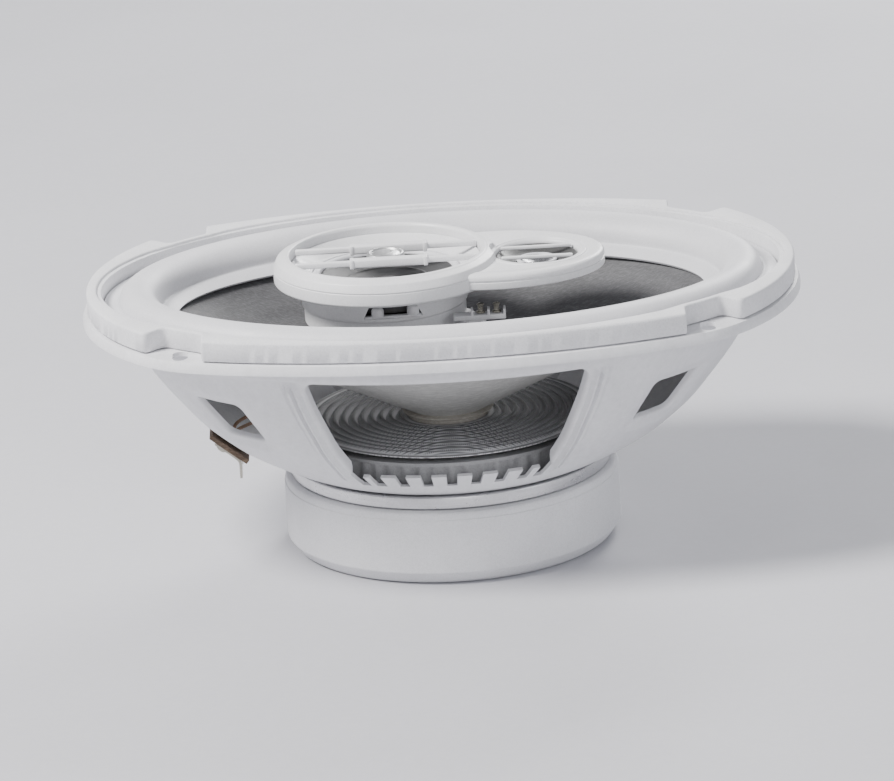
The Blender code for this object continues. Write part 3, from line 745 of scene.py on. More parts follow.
def fold_lips(bm, normals, places):
    """Turns the sheet's edge inwards round the windows and the vents, over a small radius."""
    bm.verts.ensure_lookup_table()
    depth = {v: lip_depth(*places[v.index]) for v in bm.verts if v.is_boundary}
    ring = [e for e in bm.edges if e.is_boundary and all(depth[v] > 0.3 for v in e.verts)]
    steps, outward = {}, {}
    for edge in ring:
        centre = edge.link_faces[0].calc_center_median()
        for v in edge.verts:
            steps.setdefault(v, []).append(edge.other_vert(v).co - v.co)
            outward[v] = outward.get(v, Vector()) + (v.co - centre).normalized()
    plan = {}
    for v, (first, *others) in steps.items():
        tangent = others[-1] - first if others else first
        inward = -Vector(normals[v.index])
        side = tangent.cross(inward).normalized()
        plan[v] = (v.co.copy(), side if side.dot(outward[v]) > 0 else -side, inward, depth[v] / VENT_LIP)
    current = {v: v for v in plan}
    for out, down in LIP_PROFILE:
        made = bmesh.ops.extrude_edge_only(bm, edges=ring)["geom"]
        known = {tuple(round(c, 9) for c in old.co): v for v, old in current.items()}
        for vert in (g for g in made if isinstance(g, bmesh.types.BMVert)):
            v = known[tuple(round(c, 9) for c in vert.co)]
            start, side, inward, grow = plan[v]
            vert.co = start + (side * out * LIP_OUT * min(1, grow) + inward * down * grow) * MM
            current[v] = vert
        inner = set(current.values())
        ring = [g for g in made if isinstance(g, bmesh.types.BMEdge) and all(v in inner for v in g.verts)]


def capsule(x, y, width, length, steps=16):
    """A slot outline, long in Y, centred on (x, y)."""
    r, half = width / 2, (length - width) / 2
    line = []
    for end, start in ((half, 0.0), (-half, math.pi)):
        for i in range(steps + 1):
            t = start + math.pi * i / steps
            line.append((x + r * math.cos(t), y + end + r * math.sin(t)))
    return line


def prism(name, outline, low, high):
    """A straight solid over an outline."""
    count = len(outline)
    points = [(x, y, z) for z in (low, high) for x, y in outline]
    faces = [tuple(range(count)), tuple(range(count, 2 * count))]
    faces += [(i, (i + 1) % count, (i + 1) % count + count, i + count) for i in range(count)]
    return mesh_from(name, points, faces)


def make_basket():
    """The pressed sheet with its openings, ribs and lips, thickened, with a slot cut in each ear."""
    turn, down, holes = basket_grid()
    points, normals = face_points(turn, down)
    points = points + normals * rib_height(turn, down)[..., None]
    rows, columns = turn.shape
    used = np.zeros(turn.shape, bool)
    cells = []
    for i in range(rows - 1):
        for j in range(columns):
            if not holes[i, j]:
                k = (j + 1) % columns
                cells.append(((i, j), (i + 1, j), (i + 1, k), (i, k)))
                for corner in cells[-1]:
                    used[corner] = True
    index = np.cumsum(used.reshape(-1)).reshape(used.shape) - 1
    mesh = bpy.data.meshes.new("basket_fine")
    faces = [tuple(int(index[corner]) for corner in cell) for cell in cells]
    mesh.from_pydata([tuple(p) for p in points[used] * MM], [], faces)
    bm = bmesh.new()
    bm.from_mesh(mesh)
    fold_lips(bm, normals[used], np.stack([turn[used], down[used]], -1))
    bmesh.ops.recalc_face_normals(bm, faces=bm.faces)
    bm.to_mesh(mesh)
    bm.free()
    sheet = placed("sheet", mesh)
    thick = sheet.modifiers.new("Sheet", "SOLIDIFY")
    thick.thickness = SHEET * MM
    middle_face = mesh.polygons[len(mesh.polygons) // 3]
    points_out = middle_face.normal.dot(Vector((*middle_face.center[:2], 0))) > 0
    thick.offset = -1 if points_out else 1
    thick.use_even_offset = True
    slots = [prism("ear_slot", capsule(x * EAR_SLOT[0], y * EAR_SLOT[1], 5.0, 9.0), 80.0, 86.0)
             for x, y in ((1, 1), (-1, 1), (-1, -1), (1, -1))]
    dress("basket", cut(modified(sheet), *slots), "painted_steel", sharp=50)


# ---------------------------------------------------------------- gasket

GASKET_HOLE = (111.0, 76.7)
GASKET_INSET = 1.6
NOTCH_WALL_X, NOTCH_END_X = 77.5, 97.0
NOTCH_FLOOR, NOTCH_FLOOR_X = 2.6, (88.0, 79.5)  # gap to the hole, and the span where it is kept
NOTCH_PULL, NOTCH_CORNER, NOTCH_EDGE = 4.5, 3.2, 1.0
WALL_TURN = 0.01


def bend(first, out, back, last, steps):
    """Points of a cubic curve between its first and last points, with both left out."""
    t = np.linspace(0, 1, steps + 1)[1:-1, None]
    return (1 - t) ** 3 * first + 3 * t * (1 - t) ** 2 * out + 3 * t * t * (1 - t) * back + t**3 * last


def towards(start, end, reach):
    """The point this far past `end` on the line from `start`."""
    return end + (end - start) / np.linalg.norm(end - start) * reach


def spread(points, first, last):
    """Values from first to last that follow the distance along the points."""
    steps = np.linalg.norm(np.diff(points, axis=0), axis=1)
    along = np.concatenate([[0.0], np.cumsum(steps)])
    return first + (last - first) * along / along[-1]


def gasket_quarter():
    """A quarter of the gasket's outline: the short end's edge, a curve into the notch, its floor, its wall
    and the long side's edge. With each point comes the turn of the hole's point that it is joined to."""
    edge = np.stack(flange_edge(np.radians(np.linspace(0, 90, 361)), GASKET_INSET), -1)
    end, side = edge[edge[:, 0] > NOTCH_END_X][::-3][::-1], edge[edge[:, 0] < NOTCH_WALL_X - NOTCH_EDGE][::3]
    a, b = (half + NOTCH_FLOOR for half in GASKET_HOLE)
    x = np.linspace(*NOTCH_FLOOR_X, 12)
    floor = np.column_stack([x, b * np.sqrt(1 - (x / a) ** 2)])
    out, back = towards(end[-2], end[-1], NOTCH_PULL), towards(floor[1], floor[0], NOTCH_PULL)
    curve = bend(end[-1], out, back, floor[0], 20)
    foot = np.array([NOTCH_WALL_X, floor[-1, 1] + NOTCH_CORNER])
    low_corner = towards(floor[-2], floor[-1], 1.4)
    top = np.array([NOTCH_WALL_X, side[0, 1] - 0.2])
    bowl = bend(floor[-1], low_corner, foot - (0, 1.2), foot, 7)
    wall = np.linspace(foot, top - (0, NOTCH_EDGE), 8)
    wall = np.concatenate([wall, bend(wall[-1], top - (0, 0.3), top - (0.3, 0), side[0], 5)])
    parts = [end, curve, floor, bowl, wall, side]
    start, stop, behind = (math.acos(at / GASKET_HOLE[0]) for at in (*NOTCH_FLOOR_X, NOTCH_WALL_X - 1.2))
    turns = [spread(np.concatenate([end, curve, floor[:1]]), 0.0, start)[:-1], spread(floor, start, stop),
             spread(np.concatenate([floor[-1:], bowl, wall[:1]]), stop, behind)[1:-1],
             spread(np.concatenate([wall, side[:1]]), behind, behind + WALL_TURN)[:-1],
             spread(side, behind + WALL_TURN, math.pi / 2)]
    return np.concatenate(parts), np.concatenate(turns)


def gasket_outline():
    """The gasket's whole outline, the turns of the hole's points it is joined to, and how close each point
    is to a notch: 1 beside it, 0 away from it."""
    points, turns = gasket_quarter()
    points = np.concatenate([points, points[-2::-1] * (-1, 1)])
    turns = np.concatenate([turns, math.pi - turns[-2::-1]])
    points = np.concatenate([points, points[-2:0:-1] * (1, -1)])
    turns = np.concatenate([turns, -turns[-2:0:-1]])
    close = np.clip(1.8 - abs(abs(points[:, 0]) - 83) / 8, 0, 1)
    return points, turns, close


def inset(outline, by):
    """The closed outline moved in along its normals, by one distance or by one for each point."""
    before, after = np.roll(outline, 1, 0), np.roll(outline, -1, 0)
    normals = []
    for side in (outline - before, after - outline):
        side = side / np.linalg.norm(side, axis=1)[:, None]
        normals.append(np.stack([-side[:, 1], side[:, 0]], -1))
    mean = normals[0] + normals[1]
    mean /= np.maximum(np.sum(mean * normals[0], 1), 0.35)[:, None]
    return outline + mean * np.asarray(by)[..., None]


def make_gasket():
    """The notched gasket: a flat top with a rounded rim and a step down to its oval hole."""
    outer, turn, close = gasket_outline()

    def hole(grow, z):
        a, b = (side + grow * (1 - 0.65 * close) for side in GASKET_HOLE)
        return np.stack([a * np.cos(turn), b * np.sin(turn), z + 0 * turn], -1)

    def rim(by, z):
        return np.column_stack([inset(outer, by * (1 - 0.35 * close)), np.full(len(outer), z)])

    low, high = (corner.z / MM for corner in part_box("front_gasket"))
    step = high - 0.9
    grid = [rim(0.35, low), rim(0.0, low + 0.35)]
    for k in range(5):
        a = math.radians(22.5 * k)
        grid.append(rim(0.9 * (1 - math.cos(a)), high - 0.9 * (1 - math.sin(a))))
    grid += [hole(2.1, high), hole(1.75, high - 0.1), hole(1.6, high - 0.35), hole(1.6, step)]
    grid += [hole(0.45, step), hole(0.12, step - 0.12), hole(0.0, step - 0.45), hole(0.0, low)]
    dress("front_gasket", ring_mesh("front_gasket_fine", grid), "gasket_rubber", sharp=45)


# ---------------------------------------------------------------- turned pieces

# Node: (look, material slot, edge radius, steps, (radius, height) points down the outer side)
TURNED = {
    "magnet_boot": ("boot_rubber", "boot_rubber", 0.5, 180, [
        (52.6, 25.1), (54.4, 24.6), (54.8, 23.6), (54.8, 22.4), (55.1, 22.2), (55.1, 4.4), (52.6, 0.9),
        (51.2, 0.0), (46.0, 0.0), (45.2, 0.5), (44.4, 0.5), (43.6, 0.0), (22.0, 0.0), (22.0, 1.5),
        (50.8, 1.5), (50.8, 25.1)]),
    "top_plate": ("plated_steel", "plated_steel", 0.5, 180, [
        (15.0, 29.5), (52.8, 29.5), (52.8, 25.4), (15.0, 25.4)]),
    "t_yoke": ("plated_steel", "plated_steel", 0.5, 128, [
        (3.2, 31.2), (11.8, 31.2), (11.8, 7.8), (50.0, 7.8), (50.0, 1.8), (10.5, 1.8), (9.8, 2.4),
        (6.4, 2.4), (6.4, 4.6), (3.2, 4.6)]),
    "voice_coil_former": ("coil_paper", "coil_paper", 0.1, 96, [
        (12.45, 45.2), (12.95, 45.2), (12.95, 21.5), (12.45, 21.5)]),
    "voice_coil_winding": ("copper", "copper", 0.25, 96, [
        (13.25, 33.5), (14.1, 33.5), (14.1, 21.9), (13.25, 21.9)]),
    "bridge_bolt": ("plated_steel", "plated_steel", 0.4, 64, [
        (0, 43.8), (2.7, 43.8), (2.7, 4.3), (5.4, 4.3), (5.4, 2.3), (4.6, 2.0), (2.0, 2.0), (1.8, 2.7),
        (0, 2.7)]),
    "mid_waveguide": ("pod_plastic", "pod_plastic", 0.25, 128, [
        (24.5, 91.9), (25.4, 92.0), (30.4, 95.3), (30.9, 95.3), (30.9, 94.0), (24.5, 90.5)]),
    "mid_frame": ("dark_plastic", "dark_plastic", 0.3, 96, [
        (22.6, 90.0), (24.0, 90.0), (24.0, 84.0), (16.0, 79.2), (10.4, 79.2), (10.4, 80.6), (15.4, 80.6),
        (22.6, 85.0)]),
    "mid_yoke": ("mid_steel", "plated_steel", 0.3, 72, [
        (0, 78.5), (7.7, 78.5), (7.7, 83.4), (9.3, 83.4), (9.3, 77.2), (0, 77.2)]),
    "mid_diaphragm": ("diaphragm", "diaphragm", 0.9, 128, [
        (0, 89.2), (2.2, 89.0), (4.4, 88.3), (6.2, 87.3), (7.2, 86.9), (8.2, 87.0), (12.6, 88.4),
        (13.2, 88.9), (13.8, 88.8), (21.0, 90.9), (21.6, 90.9), (21.6, 90.3), (21.0, 90.3), (7.2, 86.2),
        (3.7, 87.5), (0, 88.0)]),
    "tweeter_horn": ("dark_plastic", "dark_plastic", 0.25, 96, [
        (6.8, 91.8), (7.6, 91.9), (9.6, 92.3), (12.7, 93.9), (13.2, 93.9), (13.2, 90.6), (6.8, 90.6)]),
    "tweeter_dome": ("metal_dome", "metal_dome", 0.6, 96, [
        (0, 91.0), (2.7, 91.4), (4.6, 92.4), (5.2, 92.5), (5.2, 92.1), (4.6, 92.0), (2.9, 91.0), (0, 90.6)]),
    "tweeter_yoke": ("mid_steel", "plated_steel", 0.3, 72, [
        (0, 88.0), (5.6, 88.0), (5.6, 90.3), (7.9, 90.3), (7.9, 87.4), (7.3, 86.8), (0, 86.8)]),
}


def make_turned():
    """The pieces in the table, and the four rivets that hold the basket to the top plate."""
    for node, (look, slot, radius, steps, profile) in TURNED.items():
        dress(node, over(turned(node + "_fine", profile, radius, steps), node), look)
    for i in range(4):
        node = f"basket_rivet_{i + 1}"
        low, high = (corner.z for corner in extent(node))
        head = [(0, high), (1.1, high), (1.6, high - 0.15), (2.9, high - 0.5), (3.2, low + 0.4),
                (3.2, low), (0, low)]
        dress(node, over(turned(node, head, 0.3, 48), node), "plated_steel")


def make_spider_ring():
    """The spider's landing ring, with shallow ribs round its outside."""
    def ribs(reach, height, turn):
        wave = np.clip(np.cos(60 * turn) * 2.5, -1, 1)
        outer = np.clip((reach - 46.0) / 1.5, 0, 1) * (height < 38.4) * (height > 32.3)
        return reach - outer * 0.35 * (1 - wave)

    profile = [(42.5, 39.6), (48.2, 39.6), (48.2, 38.5), (48.2, 38.3), (48.2, 32.4), (48.2, 32.2),
               (48.2, 31.5), (45.0, 31.5), (42.5, 33.0)]
    dress("spider_ring", turned("spider_ring", profile, 0.3, 480, 2, ribs), "ring_plastic")


# ---------------------------------------------------------------- woofer

NECK_R = 13.25  # where the cone and the spider meet the coil


def shell(name, rows, thickness, steps=200):
    """A closed shell under oval rows of (half-length, half-width, height), square to them."""
    rows = np.array(rows, float)
    slope = np.gradient(rows, axis=0)
    run = np.hypot((slope[:, 0] + slope[:, 1]) / 2, slope[:, 2])
    side, down = slope[:, 2] / run, (slope[:, 0] + slope[:, 1]) / 2 / run
    under = rows + np.stack([-side, -side, down], -1) * thickness * np.sign(down[0] or 1)
    return oval_solid(name, [*rows, *under[::-1]], steps)


def arc_rows(outer, inner, top, count):
    """Oval rows over a half-roll from the outer foot to the inner foot, through the crown's height."""
    made = []
    for k in range(count + 1):
        a = math.pi * k / count
        s = (1 - math.cos(a)) / 2
        base = outer[2] + (inner[2] - outer[2]) * s
        crown = top - (outer[2] + inner[2]) / 2
        made.append((outer[0] + (inner[0] - outer[0]) * s, outer[1] + (inner[1] - outer[1]) * s,
                     base + crown * math.sin(a) ** 0.85))
    return made


def make_surround():
    """The woofer's surround: its glued rim, its half-roll and the skirt under the cone's edge."""
    roll = arc_rows((104.6, 71.3, 85.1), (92.6, 58.6, 83.2), 90.4, 28)
    rows = [(110.2, 75.9, 85.1), (109.9, 75.6, 85.12), (106.4, 72.9, 85.12), (106.1, 72.6, 85.35),
            (105.6, 72.2, 85.35), (105.2, 71.85, 85.12), *roll, (92.2, 58.2, 82.3), (91.4, 57.4, 81.95),
            (89.8, 55.6, 81.35), (87.4, 52.8, 80.25), (86.9, 52.2, 79.9)]
    mesh = shell("surround_fine", rows, 0.8, 240)
    flex("surround", mesh, "surround_rubber", (92.3, 58.3), (104.9, 71.6))


def cone_row(s):
    """The cone's front face at the fraction s of the way from the neck to the edge."""
    a, b = (NECK_R + (edge - NECK_R) * s for edge in (92.0, 57.8))
    return a, b, 44.6 + 36.0 * s


def make_cone():
    """The paper cone, dark in front and pale behind, and the glue round its neck."""
    rows = [cone_row(1 - k / 36) for k in range(37)]
    mesh = shell("cone_fine", rows, 1.0, 240)
    dress("cone", mesh, "cone_paper", sharp=60)
    mesh.materials.append(LOOKS["cone_back"].material)
    for face in mesh.polygons:
        face.material_index = int(face.normal.z < -0.2)
    collar = [(13.0, 44.4), (13.6, 44.3), (15.2, 43.9), (14.6, 43.2), (13.3, 42.8), (13.0, 42.8)]
    extra("cone_neck_glue", turned("neck_glue", collar, 0.4, 96), "coil_paper", "woofer")


def make_spider():
    """The spider: rolls that fade out towards the coil and towards its landing ring."""
    low, high = (corner.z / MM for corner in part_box("spider"))
    height, count = (low + high) / 2 + 0.2, 150
    rows = []
    for k in range(count + 1):
        r = 47.8 + (NECK_R - 47.8) * k / count
        fade = min(1, max(0, (r - SPIDER_START) / 1.5)) * min(1, max(0, (45.6 - r) / 1.5))
        roll = math.sin(2 * math.pi * (r - SPIDER_START) / SPIDER_PITCH)
        rows.append((r, r, height + 0.88 * fade * roll))
    mesh = shell("spider_fine", rows, 0.35, 160)
    flex("spider", mesh, "spider_cloth", (15.4, 15.4), (45.0, 45.0))


# ---------------------------------------------------------------- pod

MID_X, BASE_X, TWEETER_X = MID_AXIS[0] / MM, middle("pod_base")[0], TWEETER_AXIS[0] / MM
ARM_Y = -19.5


def make_bridge():
    """The post up the middle, and the round base of the pod with a recess in its side."""
    post = turned("bridge_post_fine", [
        (0, 75.0), (11.0, 75.0), (11.0, 73.2), (9.4, 71.2), (8.3, 68.6), (8.3, 33.2), (7.7, 31.5),
        (3.0, 31.5), (3.0, 44.4), (0, 44.4)], 0.6, 96)
    dress("bridge_post", post, "pod_plastic")
    base = turned("pod_base_fine", [
        (25.3, 89.1), (27.2, 89.1), (27.2, 81.9), (26.5, 81.4), (26.5, 76.4), (25.4, 75.3), (1.2, 75.3),
        (1.2, 76.9), (25.3, 76.9)], 0.35, 160)
    slanted = [(-25.6, 82.9), (-6.4, 82.9), (-8.4, 87.2), (-23.6, 87.2)]
    recess = prism("recess", slanted, 22.0, 32.0)
    recess.transform(Matrix.Rotation(math.radians(90), 4, "X"))
    dress("pod_base", cut(shift(base, (BASE_X, 0, 0)), recess), "pod_plastic")
    sill = block("recess_sill", (18.4, 2.2, 0.8), (-16.0, -25.4, 83.3), 0.25)
    extra("pod_recess_sill", sill, "pod_plastic", ROOT)


def make_housing():
    """The midrange ring and the tweeter's lobe as one moulding, with a boss round the tweeter."""
    def at_mid(name, profile):
        return shift(turned(name, profile, 0.1, 120), (MID_X, 0, 0))

    ring = turned("ring", [
        (31.2, 97.6), (31.7, 98.4), (33.0, 98.4), (33.5, 98.0), (35.8, 97.0), (36.7, 94.9), (36.9, 94.3),
        (36.5, 94.1), (36.9, 93.9), (36.9, 90.2), (36.1, 89.4), (28.2, 89.4), (28.2, 91.0), (31.2, 92.4)],
        0.35, 180)
    shift(ring, (MID_X, 0, 0))
    rows = [(0, 0, 90.3), (35.4, 25.9, 90.3), (35.9, 26.4, 90.6), (36.0, 26.5, 91.0), (36.0, 26.5, 92.7),
            (35.6, 26.1, 92.9), (35.6, 26.1, 93.3), (36.0, 26.5, 93.5), (36.0, 26.5, 94.3),
            (35.85, 26.35, 94.8), (35.4, 25.9, 95.25), (34.8, 25.3, 95.45), (34.2, 24.7, 95.5),
            (31.6, 22.2, 95.5), (31.1, 21.7, 95.2), (30.6, 21.2, 95.2), (0, 0, 95.2)]
    mouth = at_mid("mouth", [(0, 102.0), (34.4, 102.0), (34.4, 86.0), (0, 86.0)])
    lobe = cut(oval_solid("lobe", rows, 200, (18.0, 0), False), mouth)
    housing = cut(ring, lobe, operation="UNION")
    boss = turned("boss", [
        (14.6, 95.0), (14.9, 95.5), (16.3, 95.5), (16.7, 95.0), (16.7, 93.0), (14.6, 93.0)], 0.25, 120)
    keep_out = at_mid("keep", [(0, 99.0), (36.2, 99.0), (36.2, 88.0), (0, 88.0)])
    housing = cut(housing, cut(shift(boss, (TWEETER_X, 0, 0)), keep_out), operation="UNION")
    throat = turned("throat", [
        (0, 99.0), (15.6, 99.0), (15.0, 95.6), (13.9, 94.9), (13.5, 94.2), (13.5, 87.0), (0, 87.0)], 0.3, 120)
    dress("pod_housing", cut(housing, shift(throat, (TWEETER_X, 0, 0))), "pod_plastic", sharp=32)


def make_bars():
    """The grille's bars across both drivers and the badge at the middle of it."""
    for side in ("front", "rear"):
        node = f"mid_bar_{side}"
        low, high = extent(node)
        y = middle(node).y
        bar = block(node, (high.x - low.x, 1.7, 2.0), (MID_X, y, 96.8), 0.55, 4)
        sleeve = block(node, (25.0, 3.2, 3.0), (MID_X + 1, y, 96.8), 0.7, 4)
        ends = [block(node, (1.4, 3.7, 3.2), (MID_X + 1 + way * 12.0, y, 96.75), 0.4) for way in (-1, 1)]
        dress(node, joined(node, [bar, sleeve, *ends]), "pod_plastic")
        node = f"tweeter_bar_{side}"
        low, high = extent(node)
        dress(node, block(node, (high.x - low.x, 1.2, 1.1), middle(node), 0.35, 4), "pod_plastic")
    low, high = (corner.z for corner in extent("grille_badge"))
    badge = turned("badge", [
        (0, high), (2.2, high - 0.05), (3.6, high - 0.3), (4.5, high - 0.65), (4.8, high - 0.8),
        (5.1, high - 0.2), (5.8, high - 0.25), (6.2, high - 0.9), (6.2, low), (0, low)], 0.25, 96)
    dress("grille_badge", shift(badge, (MID_X, 0, 0)), "badge_metal")


def make_small_parts():
    """The pod's screws, its terminal arm with two lugs, and the crossover capacitor."""
    for i in (1, 2):
        node = f"pod_screw_{i}"
        low, high = extent(node)
        r, top = (high.x - low.x) / 2, high.z
        head = [(0, top), (r * 0.5, top - 0.1), (r * 0.85, top - 0.5), (r, top - 1.1), (r, low.z), (0, low.z)]
        dress(node, over(turned(node, head, 0.3, 48), node), "pod_plastic")
        node = f"pod_lug_{i}"
        low, high = (corner.z for corner in extent(node))
        lug = [(0, high), (0.8, high - 0.1), (1.3, high - 0.6), (0.9, high - 0.9), (0.9, low + 0.7),
               (1.5, low + 0.5), (1.5, low), (0, low)]
        dress(node, over(turned(node, lug, 0.15, 48), node), "tinned_brass")
    arm = [block("arm", (17.0, 5.0, 1.6), (12.0, ARM_Y, 80.0), 0.3),
           block("leg", (6.0, 4.0, 5.0), (11.0, ARM_Y, 77.9), 0.5),
           block("leg_rib", (1.2, 4.6, 4.6), (12.6, ARM_Y, 78.0), 0.3)]
    arm += [block("fin", (0.8, 4.6, 2.4), (x, ARM_Y, 81.3), 0.2) for x in (9.6, 15.0, 20.1)]
    dress("pod_terminal_arm", joined("arm", arm), "pod_plastic")
    can = turned("can", [
        (0, 8.0), (3.3, 8.0), (3.7, 7.7), (4.0, 7.2), (4.0, 6.4), (3.75, 6.1), (4.0, 5.8), (4.0, -7.7),
        (3.6, -8.0), (0, -8.0)], 0.25, 72)
    can.transform(Matrix.Rotation(math.radians(90), 4, "Y"))
    dress("crossover_capacitor", shift(can, middle("crossover_capacitor")), "dark_plastic")


def make_small_surrounds():
    """The half-rolls round the midrange diaphragm and the tweeter dome."""
    for node, child, inner, outer, base, crown, thick in (
        ("mid_surround", "midrange", 22.0, 24.1, 90.75, 0.95, 0.3),
        ("tweeter_surround", "tweeter", 5.5, 6.5, 92.3, 0.42, 0.2),
    ):
        r_mid, half = (inner + outer) / 2, (outer - inner) / 2
        rows = []
        for a in (math.pi * k / 14 for k in range(15)):
            r = r_mid + half * math.cos(a)
            rows.append((r, r, base + crown * math.sin(a)))
        mesh = over(shell(node + "_fine", rows, thick, 120), node)
        inside, outside, at = (inner + 0.2,) * 2, (outer - 0.2,) * 2, middle(node)
        flex(node, mesh, "surround_rubber", inside, outside, (at.x, at.y))


# ---------------------------------------------------------------- terminals

BLADE_GAP, BLADE_THICK, TERMINAL_Y = 2.4, 0.8, 7.0
BOARD_SLOPE = math.radians(38.7)
TILT = Matrix.Rotation(BOARD_SLOPE, 4, "Y")


def on_board(along, out):
    """Point in XZ: `along` the slope down towards the magnet, `out` from the basket's outer face."""
    c, s = math.cos(BOARD_SLOPE), math.sin(BOARD_SLOPE)
    return -71.5 + along * c - out * s, 37.9 - along * s - out * c


def make_blade(node, wide, y):
    """A tab that runs down the board and bends to point at the magnet, with a hole near its end."""
    top, corner = on_board(-4.5, BLADE_GAP), on_board(4.0, BLADE_GAP)
    foot = corner[0] + 1.3
    line = soften([top, corner, (foot, corner[1] - 1.6), (foot, 26.0)], 0.9, False, 5)
    half = wide / 2
    sections = []
    for i, inner in enumerate(line):
        step = line[min(i + 1, len(line) - 1)] - line[max(i - 1, 0)]
        step = step / np.linalg.norm(step)
        across = np.array([step[1], -step[0]])
        if across @ np.array([-1.0, -0.6]) < 0:
            across = -across
        outer = inner + across * BLADE_THICK
        sections.append([[x, side * half, z] for (x, z), side in
                         ((inner, -1), (inner, 1), (outer, 1), (outer, -1))])
    tip = np.array(sections[-1]) * (1, (half - 1.0) / half, 1)
    sections[-1] = np.array(sections[-1]) + (0, 0, 1.2)
    sections = np.array([*sections, tip])
    first, last = (end.mean(1, keepdims=True).repeat(4, 1) for end in (sections[:1], sections[-1:]))
    blade = ring_mesh(node, np.concatenate([first, sections, last]), False)
    hole = turned("hole", [(0, 3.0), (0.8, 3.0), (0.8, -3.0), (0, -3.0)], 0.01, 32)
    hole.transform(Matrix.Rotation(math.radians(90), 4, "Y"))
    return shift(cut(blade, shift(hole, (foot - 0.4, 0, 29.0))), (0, y, 0))


def make_terminals():
    """The board with a pad under each blade, and on either side a blade, its rivet and its lead."""
    board = block("board", (15.0, 24.0, 1.6), (0, 0, 0), 0.2, 2)
    pads = [block("pad", (9.5, 8.4, 0.35), (0.4, side * TERMINAL_Y, -0.9), 0.12, 2) for side in (-1, 1)]
    board = joined("board", [board, *pads])
    board.transform(TILT)
    dress("terminal_board", shift(board, middle("terminal_board")), "fibre_board")
    for side, name, wide in ((-1, "positive", 6.3), (1, "negative", 4.8)):
        node = f"terminal_blade_{name}"
        dress(node, make_blade(node, wide, side * TERMINAL_Y), "tinned_brass", sharp=30)
        node = f"terminal_rivet_{name}"
        rivet = turned(node, [
            (0, 0.25), (1.7, 0.5), (1.7, 0.2), (1.55, -0.2), (0.9, -0.5), (0.4, -0.35), (0, -0.3)], 0.15, 48)
        rivet.transform(TILT)
        dress(node, shift(rivet, middle(node)), "tinned_brass")
        make_lead(f"tinsel_lead_{name}", side)


def smooth_route(route, steps):
    """Points on a Catmull-Rom curve through the route."""
    padded = [2 * route[0] - route[1], *route, 2 * route[-1] - route[-2]]
    points = []
    for p0, p1, p2, p3 in zip(padded, padded[1:], padded[2:], padded[3:]):
        for i in range(steps):
            t = i / steps
            straight = 2 * p1 + (p2 - p0) * t
            bend = (2 * p0 - 5 * p1 + 4 * p2 - p3) * t**2 + (3 * p1 - p0 - 3 * p2 + p3) * t**3
            points.append((straight + bend) / 2)
    return [*points, route[-1]]


def make_lead(node, side):
    """A tinsel lead: five strands twisted along its route."""
    route = [Vector(p) for p in (
        (-71.0, side * 4.0, 38.9), (-69.4, side * 4.2, 41.2), (-64.5, side * 5.0, 43.6),
        (-58.5, side * 6.0, 46.6), (-53.6, side * 7.0, 51.4), (-50.2, side * 7.6, 55.6),
        (-47.0, side * 8.0, 58.2))]
    line = smooth_route(route, 22)
    travelled, frames, meshes = 0.0, [], []
    for i, point in enumerate(line):
        ahead = (line[min(i + 1, len(line) - 1)] - line[max(i - 1, 0)]).normalized()
        across = ahead.cross(Vector((0, 1, 0))).normalized()
        if i:
            travelled += (point - line[i - 1]).length
        frames.append((point, across, ahead.cross(across), travelled))
    for strand in range(5):
        grid = []
        for point, across, up, distance in frames:
            a = 2 * math.pi * (strand / 5 + distance / 4.2)
            centre = point + (across * math.cos(a) + up * math.sin(a)) * 0.33
            grid.append([centre + (across * math.cos(b) + up * math.sin(b)) * 0.25
                         for b in (2 * math.pi * k / 9 for k in range(9))])
        grid = [[sum(grid[0], Vector()) / 9] * 9, *grid, [sum(grid[-1], Vector()) / 9] * 9]
        meshes.append(ring_mesh("strand", [[tuple(p) for p in ring] for ring in grid], False))
    piece = show(node + "_fine", joined(node, meshes), "tinsel", 80)
    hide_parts(node)
    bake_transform(piece)


# ---------------------------------------------------------------- CAD nodes that stay in sight

KEPT = {"magnet": "ferrite", "mid_magnet": "ferrite", "tweeter_magnet": "ferrite",
        "mid_pole_plate": "mid_steel", "mid_coil": "copper", "tweeter_coil": "copper"}


def dress_kept_nodes():
    for node, look in KEPT.items():
        coat(frame["nodes"][node].data, look)


# ---------------------------------------------------------------- floor, light and camera


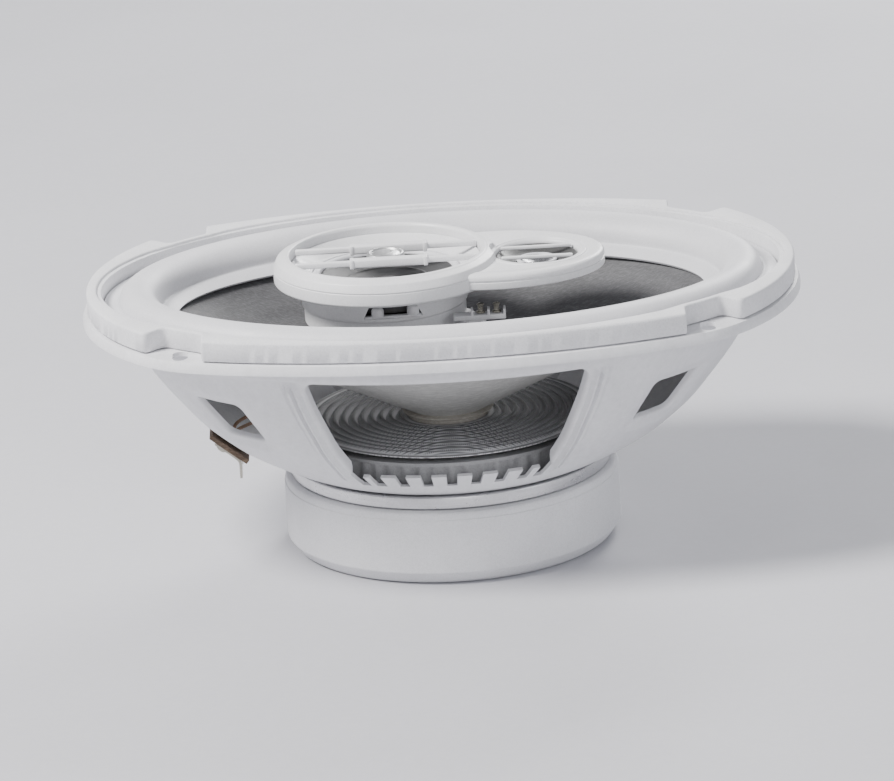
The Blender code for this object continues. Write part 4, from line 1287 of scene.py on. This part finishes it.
def make_stage():
    finish("floor_card", grey(0.50, 0.06), grey(0.55, 0.06), (0.72, 0.88), mottle=6.0, grain=260.0,
           depth=0.02, marks=fibres, mark_depth=0.02, mark_tint=0.1)
    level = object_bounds()[0].z / MM - 0.05
    corners = [(x, y, level) for x, y in ((-4000, -3000), (4000, -3000), (4000, 6000), (-4000, 6000))]
    show("floor", mesh_from("floor", corners, [(0, 1, 2, 3)]), "floor_card")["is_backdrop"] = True


def add_light(name, at, size, power, colour=(1, 1, 1), target=(0, 0, 0.05)):
    data = bpy.data.lights.new(name, "AREA")
    data.shape = "DISK"
    data.size, data.energy, data.color = size, power, colour
    made = placed(name, data)
    made.location = at
    made.rotation_euler = (Vector(target) - Vector(at)).to_track_quat("-Z", "Y").to_euler()


def make_lights():
    add_light("key", (-0.85, -0.35, 1.15), 0.45, 42.0, (1.0, 0.985, 0.965))
    add_light("fill", (1.4, -0.9, 0.6), 1.0, 6.0, (0.95, 0.97, 1.0))
    add_light("rim", (0.45, 1.2, 0.7), 0.5, 16.0)
    add_light("low_front", (0.2, -1.6, 0.22), 0.6, 4.0, target=(0, 0, 0.04))
    world = bpy.data.worlds.new("studio")
    world.use_nodes = True
    sky = world.node_tree.nodes["Background"].inputs
    sky["Color"].default_value = (0.87, 0.88, 0.93, 1)
    sky["Strength"].default_value = 0.55
    bpy.context.scene.world = world


AZIMUTH, ELEVATION, ROLL = 0.0, 17.2, -3.3
LENS, FILL = 300.0, 0.80


def make_camera():
    """A long lens that looks at the middle of the object from the side, rolled a little."""
    low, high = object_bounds()
    centre = (low + high) / 2
    data = bpy.data.cameras.new("camera")
    data.lens, data.sensor_width = LENS, 36.0
    camera = placed("camera", data)
    a, e = math.radians(AZIMUTH), math.radians(ELEVATION)
    back = Vector((math.sin(a) * math.cos(e), -math.cos(a) * math.cos(e), math.sin(e)))
    distance = (high.x - low.x) / FILL * LENS / 36.0
    camera.location = centre + back * distance
    facing = (-back).to_track_quat("-Z", "Y")
    camera.rotation_mode = "QUATERNION"
    camera.rotation_quaternion = facing @ Matrix.Rotation(math.radians(ROLL), 3, "Z").to_quaternion()
    data.clip_start, data.clip_end = 0.05, 60.0
    bpy.context.scene.camera = camera


make_basket()
make_gasket()
make_turned()
make_spider_ring()
make_surround()
make_cone()
make_spider()
make_bridge()
make_housing()
make_bars()
make_small_parts()
make_small_surrounds()
make_terminals()
dress_kept_nodes()
make_stage()
make_lights()
make_camera()
